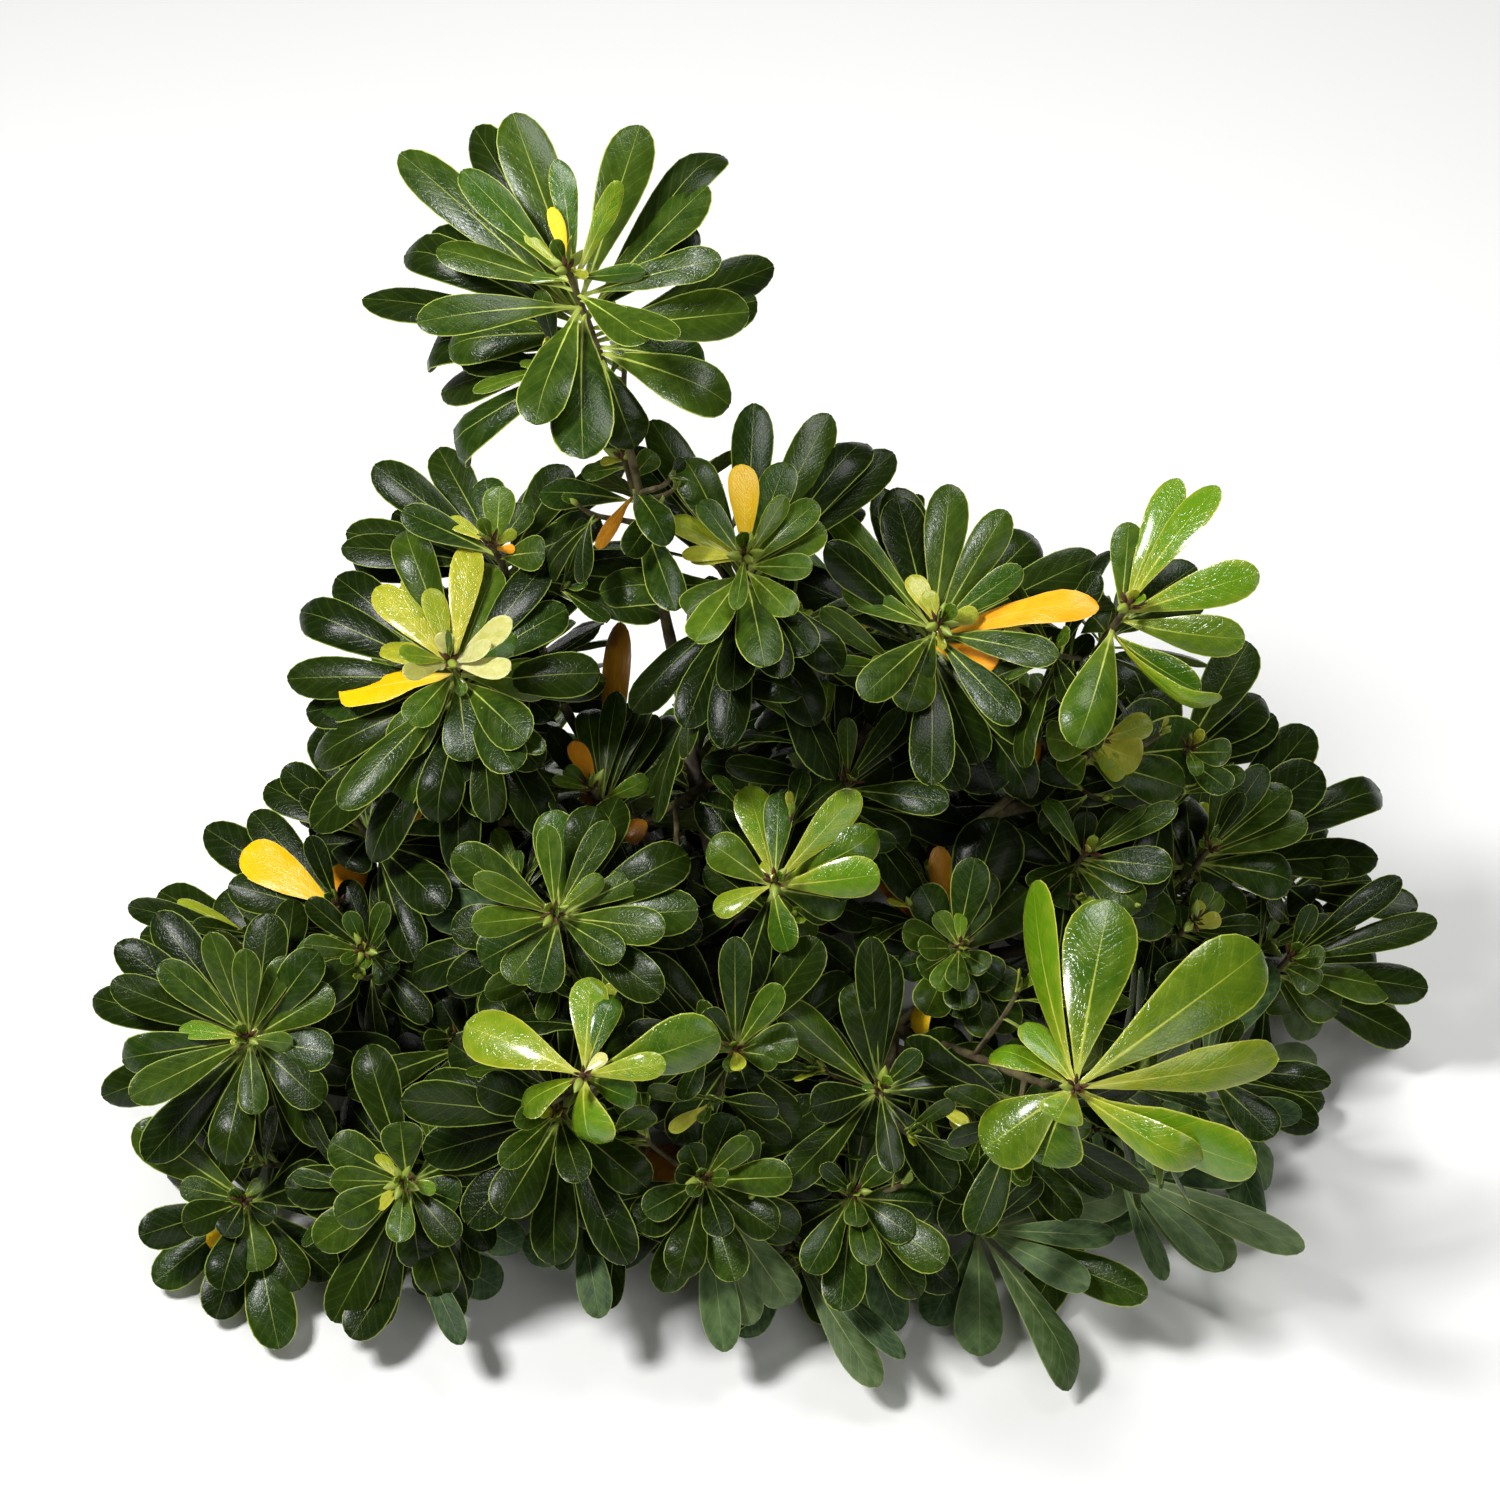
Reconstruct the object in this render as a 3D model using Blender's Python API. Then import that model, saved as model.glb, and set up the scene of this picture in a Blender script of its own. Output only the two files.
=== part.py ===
"""A pittosporum shrub, rooted in the ground: trunk, boughs and masses of leaf rosettes.

Metres, +Z up, +X to the right and -Y towards the side that the photograph shows.
The origin is the middle of the flat cut under the trunk, at ground level.
Each mass is one solid: twigs that fork from one stem, with a rosette of leaves on each.
"""

import math
import random
from dataclasses import dataclass

import bmesh
import bpy
from mathutils import Vector
from mathutils.bvhtree import BVHTree

# Driving dimensions of the plant
TRUNK_HEIGHT = 0.150
TRUNK_RADIUS = 0.014
FLARE_RADIUS = 0.030
FLARE_HEIGHT = 0.022
FLARE_LOBES = 5
FLARE_LOBE_DEPTH = 0.14
TRUNK_LEAN = Vector((-0.008, 0.006, 0.0))
TRUNK_TAPER = 0.25
TRUNK_SIDES = 15
TRUNK_RINGS = 6

BOUGH_ROOT_RADIUS = 0.0066
BOUGH_TIP_RADIUS = 0.0034
BOUGH_SIDES = 6
BOUGH_RINGS = 5
BOUGH_SHARE = 0.60
BOUGH_LIFT = 0.020
BOUGH_RISE = (math.radians(12), math.radians(88))

TWIG_ROOT_RADIUS = 0.0033
TWIG_TIP_RADIUS = 0.0027
TWIG_RINGS = 3
STEM_LENGTH = 0.016
STEM_SIDES = 6
TWIG_SIDES = 3
LIMB_EDGE = math.radians(50)
FORK_OVERLAP = 0.35

CLEARANCE = 0.0003
LEAF_CLEARANCE = 0.0007
SHARED_SPACE = 0.035
LOWEST_LEAF = 0.004
STEEPEST_LEAF = 0.95

# A leaf in shares of its length: spoon-shaped, widest past the middle, blunt at its tip
LEAF_WIDTH = 0.42
LEAF_SHOULDER = 0.60
LEAF_TIP_WIDTH = 0.26
LEAF_TIP_CUT = 0.96
LEAF_RIDGE = 0.42
LEAF_NECK = 0.16

# Half the thickness of a leaf at its root, and how far its midrib stands up
LEAF_ROOT_DEPTH = 0.0009
LEAF_RIDGE_DEPTH = 0.0016

# A rosette: leaves in a spiral, the young ones upright, the old ones spread flat.
# Angles are in degrees. Where a leaf finds no room, the tries turn it, open it and
# shorten it by these amounts, one after another.
GOLDEN_ANGLE = 137.508
WHORL_LENGTH = 0.034
WHORL_TOP = 0.003
WHORL_FOOT = 0.006
OPENING_YOUNG = 28
OPENING_OLD = 104
OPENING_SCATTER = 5
YOUNG_LENGTH = 0.50
GROWN_AGE = 0.53
CLOCK_AGES = (0.35, 0.85)
LENGTH_SCATTER = (0.92, 1.04)
SHOOT_OUTWARD = 0.40
TRIES = ((0, 0, 1.0), (9, -6, 1.0), (-9, 5, 1.0), (17, 4, 0.9), (-17, -9, 0.9), (0, 12, 0.8))

# The sight lines of the photograph: 1500 pixels wide, looking down at the crown
PICTURE_PIXELS = 1500
PICTURE_SPAN = 0.84
SIGHT_DISTANCE = 2.3
SIGHT_DOWN = math.radians(45)
SIGHT_AIM = Vector((0.0, 0.0, 0.264))

SIGHT_FORWARD = Vector((0.0, math.cos(SIGHT_DOWN), -math.sin(SIGHT_DOWN)))
SIGHT_UP = Vector((0.0, math.sin(SIGHT_DOWN), math.cos(SIGHT_DOWN)))
SIGHT_RIGHT = Vector((1.0, 0.0, 0.0))
UP = Vector((0.0, 0.0, 1.0))


@dataclass(frozen=True)
class Shoot:
    """A rosette. Its tip is seen at a pixel of the photograph, at a height above the ground.

    A shoot on the far side has its place in metres instead. Facing is how far its axis
    turns from upright and outward towards the viewer, from 0 to 1. Leaf is the length of
    a grown leaf, whorl the length of twig that bears leaves and oldest how far in degrees
    its lowest leaf opens from the axis. A sparse shoot lists its leaves as the hands of a
    clock instead: each has a turn in degrees and a share of the grown length.
    """

    seen: tuple = None
    height: float = 0.0
    place: tuple = None
    leaf: float = 0.082
    leaves: int = 12
    facing: float = 0.50
    whorl: float = WHORL_LENGTH
    oldest: float = OPENING_OLD
    clock: tuple = ()

    def tip(self):
        """The point where the shoot ends, on its sight line or at its place."""
        if self.place:
            return Vector(self.place)
        across = (self.seen[0] / PICTURE_PIXELS - 0.5) * PICTURE_SPAN / SIGHT_DISTANCE
        above = (0.5 - self.seen[1] / PICTURE_PIXELS) * PICTURE_SPAN / SIGHT_DISTANCE
        eye = SIGHT_AIM - SIGHT_FORWARD * SIGHT_DISTANCE
        line = SIGHT_FORWARD + SIGHT_RIGHT * across + SIGHT_UP * above
        return eye + line * ((self.height - eye.z) / line.z)

    def axis(self):
        """Upright, leaning outwards from the trunk, and turned towards the viewer where seen."""
        tip = self.tip()
        outward = Vector((tip.x, tip.y, 0.0))
        grown = (UP + outward.normalized() * SHOOT_OUTWARD).normalized()
        turned = grown.lerp(-SIGHT_FORWARD, self.facing if self.seen else 0.0)
        return turned.normalized()


@dataclass(frozen=True)
class Mass:
    """A mass of foliage on one bough, which leaves the trunk at the height of its socket."""

    name: str
    socket: float
    tone: str
    shoots: tuple


MASSES = (
    Mass("leader", socket=0.118, tone="dark", shoots=(
        Shoot(seen=(566, 264), height=0.555, leaf=0.110, leaves=28, facing=0.50, whorl=0.050, oldest=122),
        Shoot(seen=(622, 452), height=0.415, leaf=0.080, facing=0.20,
              clock=((55, 0.9), (110, 1.0), (150, 0.8), (262, 1.0))),
    )),
    Mass("back_left", socket=0.080, tone="dark", shoots=(
        Shoot(seen=(490, 540), height=0.350, leaf=0.096, leaves=15, facing=0.45),
        Shoot(place=(-0.155, 0.108, 0.232), leaves=9),
    )),
    Mass("left_crown", socket=0.100, tone="middling", shoots=(
        Shoot(seen=(447, 658), height=0.312, leaf=0.102, leaves=22, facing=0.40),
        Shoot(seen=(352, 815), height=0.215, leaf=0.084, leaves=12, facing=0.35),
    )),
    Mass("centre_crown", socket=0.148, tone="middling", shoots=(
        Shoot(seen=(745, 552), height=0.388, leaf=0.106, leaves=20, facing=0.50),
        Shoot(seen=(590, 785), height=0.235, leaf=0.074, leaves=9, facing=0.20),
        Shoot(seen=(850, 778), height=0.255, leaf=0.078, leaves=11, facing=0.45),
    )),
    Mass("right_crown", socket=0.122, tone="middling", shoots=(
        Shoot(seen=(940, 622), height=0.342, leaf=0.098, leaves=20, facing=0.55),
    )),
    Mass("right_sprig", socket=0.100, tone="bright", shoots=(
        Shoot(seen=(1130, 603), height=0.372, leaf=0.086, facing=0.45,
              clock=((352, 0.6), (20, 1.0), (38, 1.0), (78, 0.95), (101, 0.85), (133, 0.85), (200, 1.0))),
        Shoot(seen=(1102, 735), height=0.262, leaf=0.054, leaves=7, facing=0.40),
        Shoot(seen=(1088, 850), height=0.200, leaf=0.074, leaves=11, facing=0.40),
        Shoot(seen=(1190, 745), height=0.232, leaf=0.084, leaves=9, facing=0.40),
    )),
    Mass("right_dark", socket=0.062, tone="dark", shoots=(
        Shoot(seen=(1212, 845), height=0.165, leaf=0.100, leaves=18, facing=0.40),
        Shoot(seen=(1195, 920), height=0.145, leaf=0.058, leaves=8, facing=0.60),
        Shoot(seen=(1292, 955), height=0.100, leaf=0.096, leaves=15, facing=0.45),
        Shoot(seen=(1300, 870), height=0.120, leaf=0.080, leaves=8, facing=0.40),
    )),
    Mass("right_low", socket=0.046, tone="dusty", shoots=(
        Shoot(seen=(1218, 1060), height=0.090, leaf=0.088, leaves=11, facing=0.40),
        Shoot(seen=(1118, 1160), height=0.065, leaf=0.100,
              clock=((60, 0.7), (86, 0.8), (114, 1.15), (136, 0.8), (165, 0.6))),
    )),
    Mass("front_right", socket=0.085, tone="bright", shoots=(
        Shoot(seen=(1077, 1087), height=0.215, leaf=0.112, facing=0.75,
              clock=((345, 0.85), (8, 1.0), (48, 1.1), (82, 1.0), (112, 1.0), (130, 0.85), (220, 0.7),
                     (285, 0.6))),
        Shoot(seen=(962, 945), height=0.195, leaf=0.066, leaves=16, facing=0.60),
        Shoot(seen=(882, 1087), height=0.158, leaf=0.080, leaves=12, facing=0.60),
        Shoot(seen=(1010, 1130), height=0.110, leaf=0.070, leaves=8),
    )),
    Mass("centre_front", socket=0.112, tone="bright", shoots=(
        Shoot(seen=(775, 880), height=0.250, leaf=0.066, facing=0.55,
              clock=((335, 1.0), (5, 0.7), (38, 1.1), (62, 0.7), (88, 1.0), (120, 0.8), (172, 0.9), (250, 0.9),
                     (295, 0.8))),
        Shoot(seen=(735, 1048), height=0.180, leaf=0.078, leaves=13, facing=0.60),
    )),
    Mass("left_centre", socket=0.088, tone="middling", shoots=(
        Shoot(seen=(553, 912), height=0.235, leaf=0.082, leaves=18, facing=0.60),
        Shoot(seen=(362, 948), height=0.160, leaf=0.054, leaves=10, facing=0.70),
        Shoot(seen=(455, 1035), height=0.130, leaf=0.074, leaves=8),
    )),
    Mass("left_front", socket=0.050, tone="middling", shoots=(
        Shoot(seen=(245, 1037), height=0.140, leaf=0.090, leaves=22, facing=0.80),
        Shoot(seen=(240, 1200), height=0.065, leaf=0.086, leaves=13, facing=0.70),
    )),
    Mass("left_back", socket=0.072, tone="dark", shoots=(
        Shoot(seen=(335, 903), height=0.155, leaf=0.078, leaves=10, facing=0.30),
        Shoot(seen=(250, 930), height=0.108, leaf=0.090, leaves=12, facing=0.30),
    )),
    Mass("bright_front", socket=0.066, tone="bright", shoots=(
        Shoot(seen=(582, 1075), height=0.195, leaf=0.076, facing=0.70,
              clock=((300, 1.1), (8, 0.8), (70, 1.1), (85, 0.8), (165, 0.6), (215, 0.7))),
        Shoot(seen=(556, 1112), height=0.150, leaf=0.088, leaves=13, facing=0.60),
        Shoot(seen=(575, 1195), height=0.080, leaf=0.080, leaves=9, facing=0.30),
    )),
    Mass("front", socket=0.046, tone="middling", shoots=(
        Shoot(seen=(703, 1178), height=0.120, leaf=0.078, leaves=15, facing=0.55),
        Shoot(seen=(855, 1192), height=0.105, leaf=0.076, leaves=14),
        Shoot(seen=(795, 1250), height=0.050, leaf=0.092, facing=0.40,
              clock=((100, 0.8), (135, 1.0), (152, 1.0), (208, 0.8), (240, 0.7))),
    )),
    Mass("front_left", socket=0.036, tone="middling", shoots=(
        Shoot(seen=(402, 1182), height=0.110, leaf=0.080, leaves=15, facing=0.80),
        Shoot(seen=(410, 1235), height=0.060, leaf=0.076, leaves=9),
    )),
    Mass("low_right", socket=0.026, tone="dusty", shoots=(
        Shoot(seen=(985, 1228), height=0.060, leaf=0.096, facing=0.60,
              clock=((60, 0.7), (85, 0.9), (112, 1.0), (152, 1.05), (182, 0.75), (205, 0.7), (235, 0.7))),
    )),
    Mass("back", socket=0.094, tone="dark", shoots=(
        Shoot(place=(0.070, 0.115, 0.262), leaf=0.092),
        Shoot(place=(0.055, 0.185, 0.170), leaf=0.092),
        Shoot(place=(0.125, 0.190, 0.120), leaf=0.086, leaves=11),
    )),
    Mass("back_right", socket=0.078, tone="dark", shoots=(
        Shoot(place=(0.190, 0.090, 0.165), leaf=0.090, leaves=11),
        Shoot(place=(0.265, 0.080, 0.095), leaf=0.086, leaves=11),
        Shoot(place=(0.190, 0.170, 0.070), leaf=0.084, leaves=11),
    )),
    Mass("back_left_low", socket=0.054, tone="dark", shoots=(
        Shoot(place=(-0.190, 0.085, 0.150), leaf=0.090, leaves=11),
        Shoot(place=(-0.150, 0.160, 0.090), leaf=0.086, leaves=11),
        Shoot(place=(-0.255, 0.050, 0.070), leaf=0.084, leaves=11),
    )),
    Mass("back_low", socket=0.034, tone="dark", shoots=(
        Shoot(place=(-0.070, 0.185, 0.066), leaf=0.088, leaves=11),
        Shoot(place=(0.055, 0.235, 0.060), leaf=0.086, leaves=11),
        Shoot(place=(-0.035, 0.130, 0.118), leaf=0.084, leaves=9),
    )),
)

BARK = (0.105, 0.075, 0.052)
BARK_ROUGHNESS = 0.85
LEAF_ROUGHNESS = 0.35
TONES = {
    "dark": (0.020, 0.060, 0.014),
    "middling": (0.036, 0.100, 0.018),
    "bright": (0.110, 0.230, 0.025),
    "dusty": (0.075, 0.115, 0.065),
}


def new_material(name, colour, roughness):
    """A Principled material with one colour and no metal."""
    material = bpy.data.materials.new(name + "_finish")
    material.use_nodes = True
    shader = material.node_tree.nodes["Principled BSDF"]
    shader.inputs["Base Color"].default_value = (*colour, 1.0)
    shader.inputs["Roughness"].default_value = roughness
    shader.inputs["Metallic"].default_value = 0.0
    return material


def new_object(name, points, faces, material=None, collection=None):
    """A mesh object from points and faces, with its faces turned outwards."""
    mesh = bpy.data.meshes.new(name)
    mesh.from_pydata([tuple(point) for point in points], [], faces)
    solid = bmesh.new()
    solid.from_mesh(mesh)
    bmesh.ops.recalc_face_normals(solid, faces=solid.faces)
    solid.to_mesh(mesh)
    solid.free()
    if material:
        mesh.materials.append(material)
    made = bpy.data.objects.new(name, mesh)
    (collection or bpy.context.scene.collection).objects.link(made)
    return made


def blended(first, last, share):
    """The number or vector at this share of the way from first to last."""
    return first + (last - first) * share


def side_of(direction):
    """A unit vector square to a direction, level where it can be."""
    side = direction.cross(UP)
    if side.length < 1e-3:
        side = Vector((1.0, 0.0, 0.0))
    return side.normalized()


def skin(points, sides):
    """Faces of a closed tube whose points are rings of this many sides."""
    faces = []
    for ring in range(len(points) // sides - 1):
        for corner in range(sides):
            here = ring * sides + corner
            beside = ring * sides + (corner + 1) % sides
            faces.append((here, beside, beside + sides, here + sides))
    faces.append(tuple(range(sides)))
    faces.append(tuple(range(len(points) - sides, len(points))))
    return faces


def tube(path, radii, sides):
    """Points and faces of a closed tube: a regular polygon carried along a path."""
    points = []
    side = side_of(path[1] - path[0])
    for index, centre in enumerate(path):
        before = path[max(index - 1, 0)]
        after = path[min(index + 1, len(path) - 1)]
        along = (after - before).normalized()
        side = (side - along * side.dot(along)).normalized()
        other = along.cross(side)
        for corner in range(sides):
            turn = 2 * math.pi * corner / sides
            points.append(centre + (side * math.cos(turn) + other * math.sin(turn)) * radii[index])
    return points, skin(points, sides)


def tapering(first, last, pieces):
    """Radii that shrink evenly along a limb of this many pieces."""
    return [blended(first, last, ring / pieces) for ring in range(pieces + 1)]


def curve_points(start, start_way, end, end_way, pieces):
    """Points along a cubic curve that leaves and arrives in the two given directions."""
    reach = (end - start).length * 0.4
    first, second = start + start_way * reach, end - end_way * reach
    found = []
    for index in range(pieces + 1):
        t = index / pieces
        s = 1.0 - t
        found.append(start * s**3 + first * 3 * s * s * t + second * 3 * s * t * t + end * t**3)
    return found


def trunk_centre(height):
    """The middle of the trunk at a height: it leans a little more the higher it gets."""
    return TRUNK_LEAN * (height / TRUNK_HEIGHT) ** 1.5 + UP * height


def trunk_shell(grown):
    """Points and faces of the trunk, thicker by grown: a taper with a lobed root flare."""
    heights = [TRUNK_HEIGHT * (ring / TRUNK_RINGS) ** 1.6 for ring in range(TRUNK_RINGS + 1)]
    heights[-1] += grown
    points = []
    for height in heights:
        flare = math.exp(-height / FLARE_HEIGHT)
        taper = TRUNK_RADIUS * (1.0 - TRUNK_TAPER * height / TRUNK_HEIGHT)
        for corner in range(TRUNK_SIDES):
            turn = 2 * math.pi * corner / TRUNK_SIDES
            lobe = 1.0 + FLARE_LOBE_DEPTH * flare * math.cos(FLARE_LOBES * turn)
            radius = (taper + (FLARE_RADIUS - TRUNK_RADIUS) * flare) * lobe + grown
            outward = Vector((math.cos(turn), math.sin(turn), 0.0))
            points.append(trunk_centre(height) + outward * radius)
    return points, skin(points, TRUNK_SIDES)


def middle_of(mass):
    """The point that a mass's shoots share: the mean of the feet of their rosettes."""
    feet = [shoot.tip() - shoot.axis() * shoot.whorl for shoot in mass.shoots]
    return sum(feet, Vector()) / len(feet)


def bough_path(mass):
    """The middle line of a bough, from inside the trunk to where its mass begins."""
    start = trunk_centre(mass.socket)
    middle = middle_of(mass)
    level = Vector((middle.x - start.x, middle.y - start.y, 0.0)).normalized()
    rise = blended(*BOUGH_RISE, (mass.socket / TRUNK_HEIGHT) ** 2)
    leaving = level * math.cos(rise) + UP * math.sin(rise)
    end = blended(start, middle, BOUGH_SHARE)
    arriving = (middle - end + UP * BOUGH_LIFT).normalized()
    return curve_points(start, leaving, end, arriving, BOUGH_RINGS)


def make_limb(name, shell):
    """A limb's object: bark, shaded smooth but for its ends."""
    limb = new_object(name, *shell, new_material(name, BARK, BARK_ROUGHNESS))
    limb.data.shade_smooth()
    limb.data.set_sharp_from_angle(angle=LIMB_EDGE)
    return limb


def make_bough(mass, cutter):
    """One tapering limb, cut back to stand just clear of the trunk."""
    radii = tapering(BOUGH_ROOT_RADIUS, BOUGH_TIP_RADIUS, BOUGH_RINGS)
    bough = make_limb("bough_" + mass.name, tube(bough_path(mass), radii, BOUGH_SIDES))
    cut = bough.modifiers.new("clear_of_trunk", "BOOLEAN")
    cut.operation = "DIFFERENCE"
    cut.object = cutter
    return bough


def twig_shells(mass):
    """Shells of a mass's stem, which starts clear of its bough, and of the twigs it forks into."""
    path = bough_path(mass)
    arriving = (path[-1] - path[-2]).normalized()
    start = path[-1] + arriving * CLEARANCE
    fork = start + arriving * STEM_LENGTH
    begins = fork - arriving * (STEM_LENGTH * FORK_OVERLAP)
    radii = tapering(TWIG_ROOT_RADIUS, TWIG_TIP_RADIUS, TWIG_RINGS) + [TWIG_TIP_RADIUS]
    shells = [tube([start, fork], [BOUGH_TIP_RADIUS, TWIG_ROOT_RADIUS], STEM_SIDES)]
    for shoot in mass.shoots:
        tip, axis = shoot.tip(), shoot.axis()
        foot = tip - axis * (shoot.whorl + WHORL_FOOT)
        line = curve_points(begins, arriving, foot, axis, TWIG_RINGS) + [tip]
        shells.append(tube(line, radii, TWIG_SIDES))
    return shells


def leaf_shell(root, way, face, length, grown=0.0):
    """Points and faces of one leaf: flat below and ridged above, with a thin rim.

    Way is the direction of the midrib and face the direction of the upper surface.
    """
    across = way.cross(face).normalized()
    wide = across * (length * LEAF_WIDTH / 2 + grown)
    blunt = across * (length * LEAF_TIP_WIDTH / 2 + grown)
    shoulder = root + way * (length * LEAF_SHOULDER)
    end = root + way * (length * LEAF_TIP_CUT + grown)
    ridge = root + way * (length * LEAF_RIDGE) + face * (LEAF_RIDGE_DEPTH + grown)
    points = [
        root + face * (LEAF_ROOT_DEPTH + grown),
        root - face * (LEAF_ROOT_DEPTH + grown),
        shoulder - wide,
        end - blunt,
        end + blunt,
        shoulder + wide,
        ridge,
    ]
    faces = [
        (0, 2, 6), (2, 3, 6), (3, 4, 6), (4, 5, 6), (5, 0, 6),
        (1, 5, 2), (2, 5, 4), (2, 4, 3),
        (0, 1, 2), (1, 0, 5),
    ]
    return points, faces


def lifted(root, way, length):
    """The leaf's direction, raised where its end would come down to the ground."""
    lowest = (2 * LOWEST_LEAF - root.z) / length
    if way.z >= lowest:
        return way
    level = Vector((way.x, way.y, 0.0)).normalized()
    rise = min(STEEPEST_LEAF, lowest)
    return level * math.sqrt(1.0 - rise * rise) + UP * rise


def leaf_places(shoot, seed):
    """Age from 0 to 1, turn and opening in degrees and length of each leaf of a rosette."""
    chance = random.Random(seed)
    phase = chance.uniform(0.0, 360.0)
    for index, (turn, share) in enumerate(shoot.clock):
        age = blended(*CLOCK_AGES, (index * 3) % len(shoot.clock) / len(shoot.clock))
        opening = blended(OPENING_YOUNG, shoot.oldest, age)
        yield age, turn, opening, shoot.leaf * share
    for index in range(0 if shoot.clock else shoot.leaves):
        age = (index + 0.5) / shoot.leaves
        turn = phase + GOLDEN_ANGLE * index
        opening = blended(OPENING_YOUNG, shoot.oldest, age**0.8)
        opening += chance.uniform(-OPENING_SCATTER, OPENING_SCATTER)
        grown = min(1.0, blended(YOUNG_LENGTH, 1.0, age / GROWN_AGE))
        yield age, turn, opening, shoot.leaf * grown * chance.uniform(*LENGTH_SCATTER)


def placed_leaf(shoot, age, turn, opening, length):
    """Root, direction, face and length of one leaf of a rosette."""
    tip, axis = shoot.tip(), shoot.axis()
    ahead = (SIGHT_UP - axis * SIGHT_UP.dot(axis)).normalized()
    right = ahead.cross(axis)
    turn, opening = math.radians(turn), math.radians(opening)
    outward = ahead * math.cos(turn) + right * math.sin(turn)
    way = (axis * math.cos(opening) + outward * math.sin(opening)).normalized()
    root = tip - axis * (WHORL_TOP + shoot.whorl * age)
    way = lifted(root, way, length)
    return root, way, (axis - way * axis.dot(way)).normalized(), length


class Solid:
    """A closed shell with what is needed to test it against others quickly."""

    def __init__(self, shell):
        self.shell = shell
        self.centre = sum(shell[0], Vector()) / len(shell[0])
        self.reach = max((point - self.centre).length for point in shell[0])
        self.tree = BVHTree.FromPolygons([tuple(point) for point in shell[0]], shell[1])

    def meets(self, other):
        """Whether the faces of the two shells cross."""
        if (self.centre - other.centre).length > self.reach + other.reach:
            return False
        return bool(self.tree.overlap(other.tree))


def outer_part(shell):
    """A leaf's shell without its neck, the narrow part at its root, where leaves may meet."""
    points, faces = shell
    root, shoulder = (points[0] + points[1]) / 2, (points[2] + points[5]) / 2
    moved = blended(root, shoulder, LEAF_NECK)
    lift = (points[0] - points[1]) / 2
    return [moved + lift, moved - lift, *points[2:]], faces


def in_own_space(points, mine, others):
    """Whether each point lies nearer to this mass's shoots than to others, give or take."""
    for point in points:
        own = min((point - tip).length for tip in mine)
        foreign = min((point - tip).length for tip in others)
        if own > foreign + SHARED_SPACE:
            return False
    return True


def all_leaves():
    """Every leaf that the rule would grow, the youngest of every shoot first."""
    found = []
    for number, mass in enumerate(MASSES):
        for position, shoot in enumerate(mass.shoots):
            for age, *rest in leaf_places(shoot, seed=100 * number + position):
                first = 0.0 if shoot.clock else age
                found.append((first, number, position, (age, *rest)))
    return sorted(found)


def deal_leaves(limbs, wood):
    """The leaf shells of each mass, dealt so that none meets a limb or another mass.

    A leaf that finds no room is turned, raised or shortened a little, and else skipped.
    """
    tips = {mass.name: [shoot.tip() for shoot in mass.shoots] for mass in MASSES}
    solids = {mass.name: [Solid(shell) for shell in wood[mass.name]] for mass in MASSES}
    kept = {mass.name: [] for mass in MASSES}
    for _, number, position, (age, turn, opening, length) in all_leaves():
        mass = MASSES[number]
        foreign = [tip for name in tips if name != mass.name for tip in tips[name]]
        others = [one for name in solids if name != mass.name for one in solids[name]]
        for more_turn, more_opening, less in TRIES:
            placed = placed_leaf(
                mass.shoots[position], age, turn + more_turn, opening + more_opening, length * less
            )
            margin = Solid(leaf_shell(*placed, LEAF_CLEARANCE))
            if min(point.z for point in margin.shell[0]) < LOWEST_LEAF:
                continue
            if not in_own_space(margin.shell[0][2:], tips[mass.name], foreign):
                continue
            if any(margin.meets(other) for other in limbs + others):
                continue
            leaf = leaf_shell(*placed)
            outer = Solid(outer_part(leaf))
            if any(outer.meets(other) for other in solids[mass.name]):
                continue
            solids[mass.name].append(Solid(leaf))
            kept[mass.name].append(leaf)
            break
    return kept


def fuse(name, shells, material):
    """Makes one solid of overlapping closed shells, by one union on a collection."""
    parts = bpy.data.collections.new(name + "_parts")
    bpy.context.scene.collection.children.link(parts)
    for shell in shells[1:]:
        new_object(name + "_part", *shell, collection=parts)
    mass = new_object(name, *shells[0])
    union = mass.modifiers.new("fuse", "BOOLEAN")
    union.operation = "UNION"
    union.operand_type = "COLLECTION"
    union.collection = parts
    evaluated = mass.evaluated_get(bpy.context.evaluated_depsgraph_get())
    whole = bpy.data.meshes.new_from_object(evaluated)
    mass.modifiers.clear()
    mass.data = whole
    for part in list(parts.objects):
        bpy.data.objects.remove(part)
    bpy.data.collections.remove(parts)
    keep_largest_shell(whole)
    whole.materials.clear()
    whole.materials.append(material)


def shells_of(solid):
    """The connected shells of a bmesh, each as a set of its faces."""
    left = set(solid.faces)
    shells = []
    while left:
        reached = [left.pop()]
        shell = set(reached)
        while reached:
            face = reached.pop()
            for edge in face.edges:
                for beside in edge.link_faces:
                    if beside in left:
                        left.remove(beside)
                        shell.add(beside)
                        reached.append(beside)
        shells.append(shell)
    return shells


def keep_largest_shell(mesh):
    """Drops loose scraps and fills sealed hollows: only the shell with most faces stays."""
    solid = bmesh.new()
    solid.from_mesh(mesh)
    bmesh.ops.triangulate(solid, faces=solid.faces)
    largest = max(shells_of(solid), key=len)
    scraps = [face for face in solid.faces if face not in largest]
    bmesh.ops.delete(solid, geom=scraps, context="FACES")
    solid.to_mesh(mesh)
    solid.free()


def shell_of(made):
    """Points and faces of an object as the viewport evaluates it."""
    evaluated = made.evaluated_get(bpy.context.evaluated_depsgraph_get())
    mesh = evaluated.to_mesh()
    points = [vertex.co.copy() for vertex in mesh.vertices]
    faces = [tuple(face.vertices) for face in mesh.polygons]
    evaluated.to_mesh_clear()
    return points, faces


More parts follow.
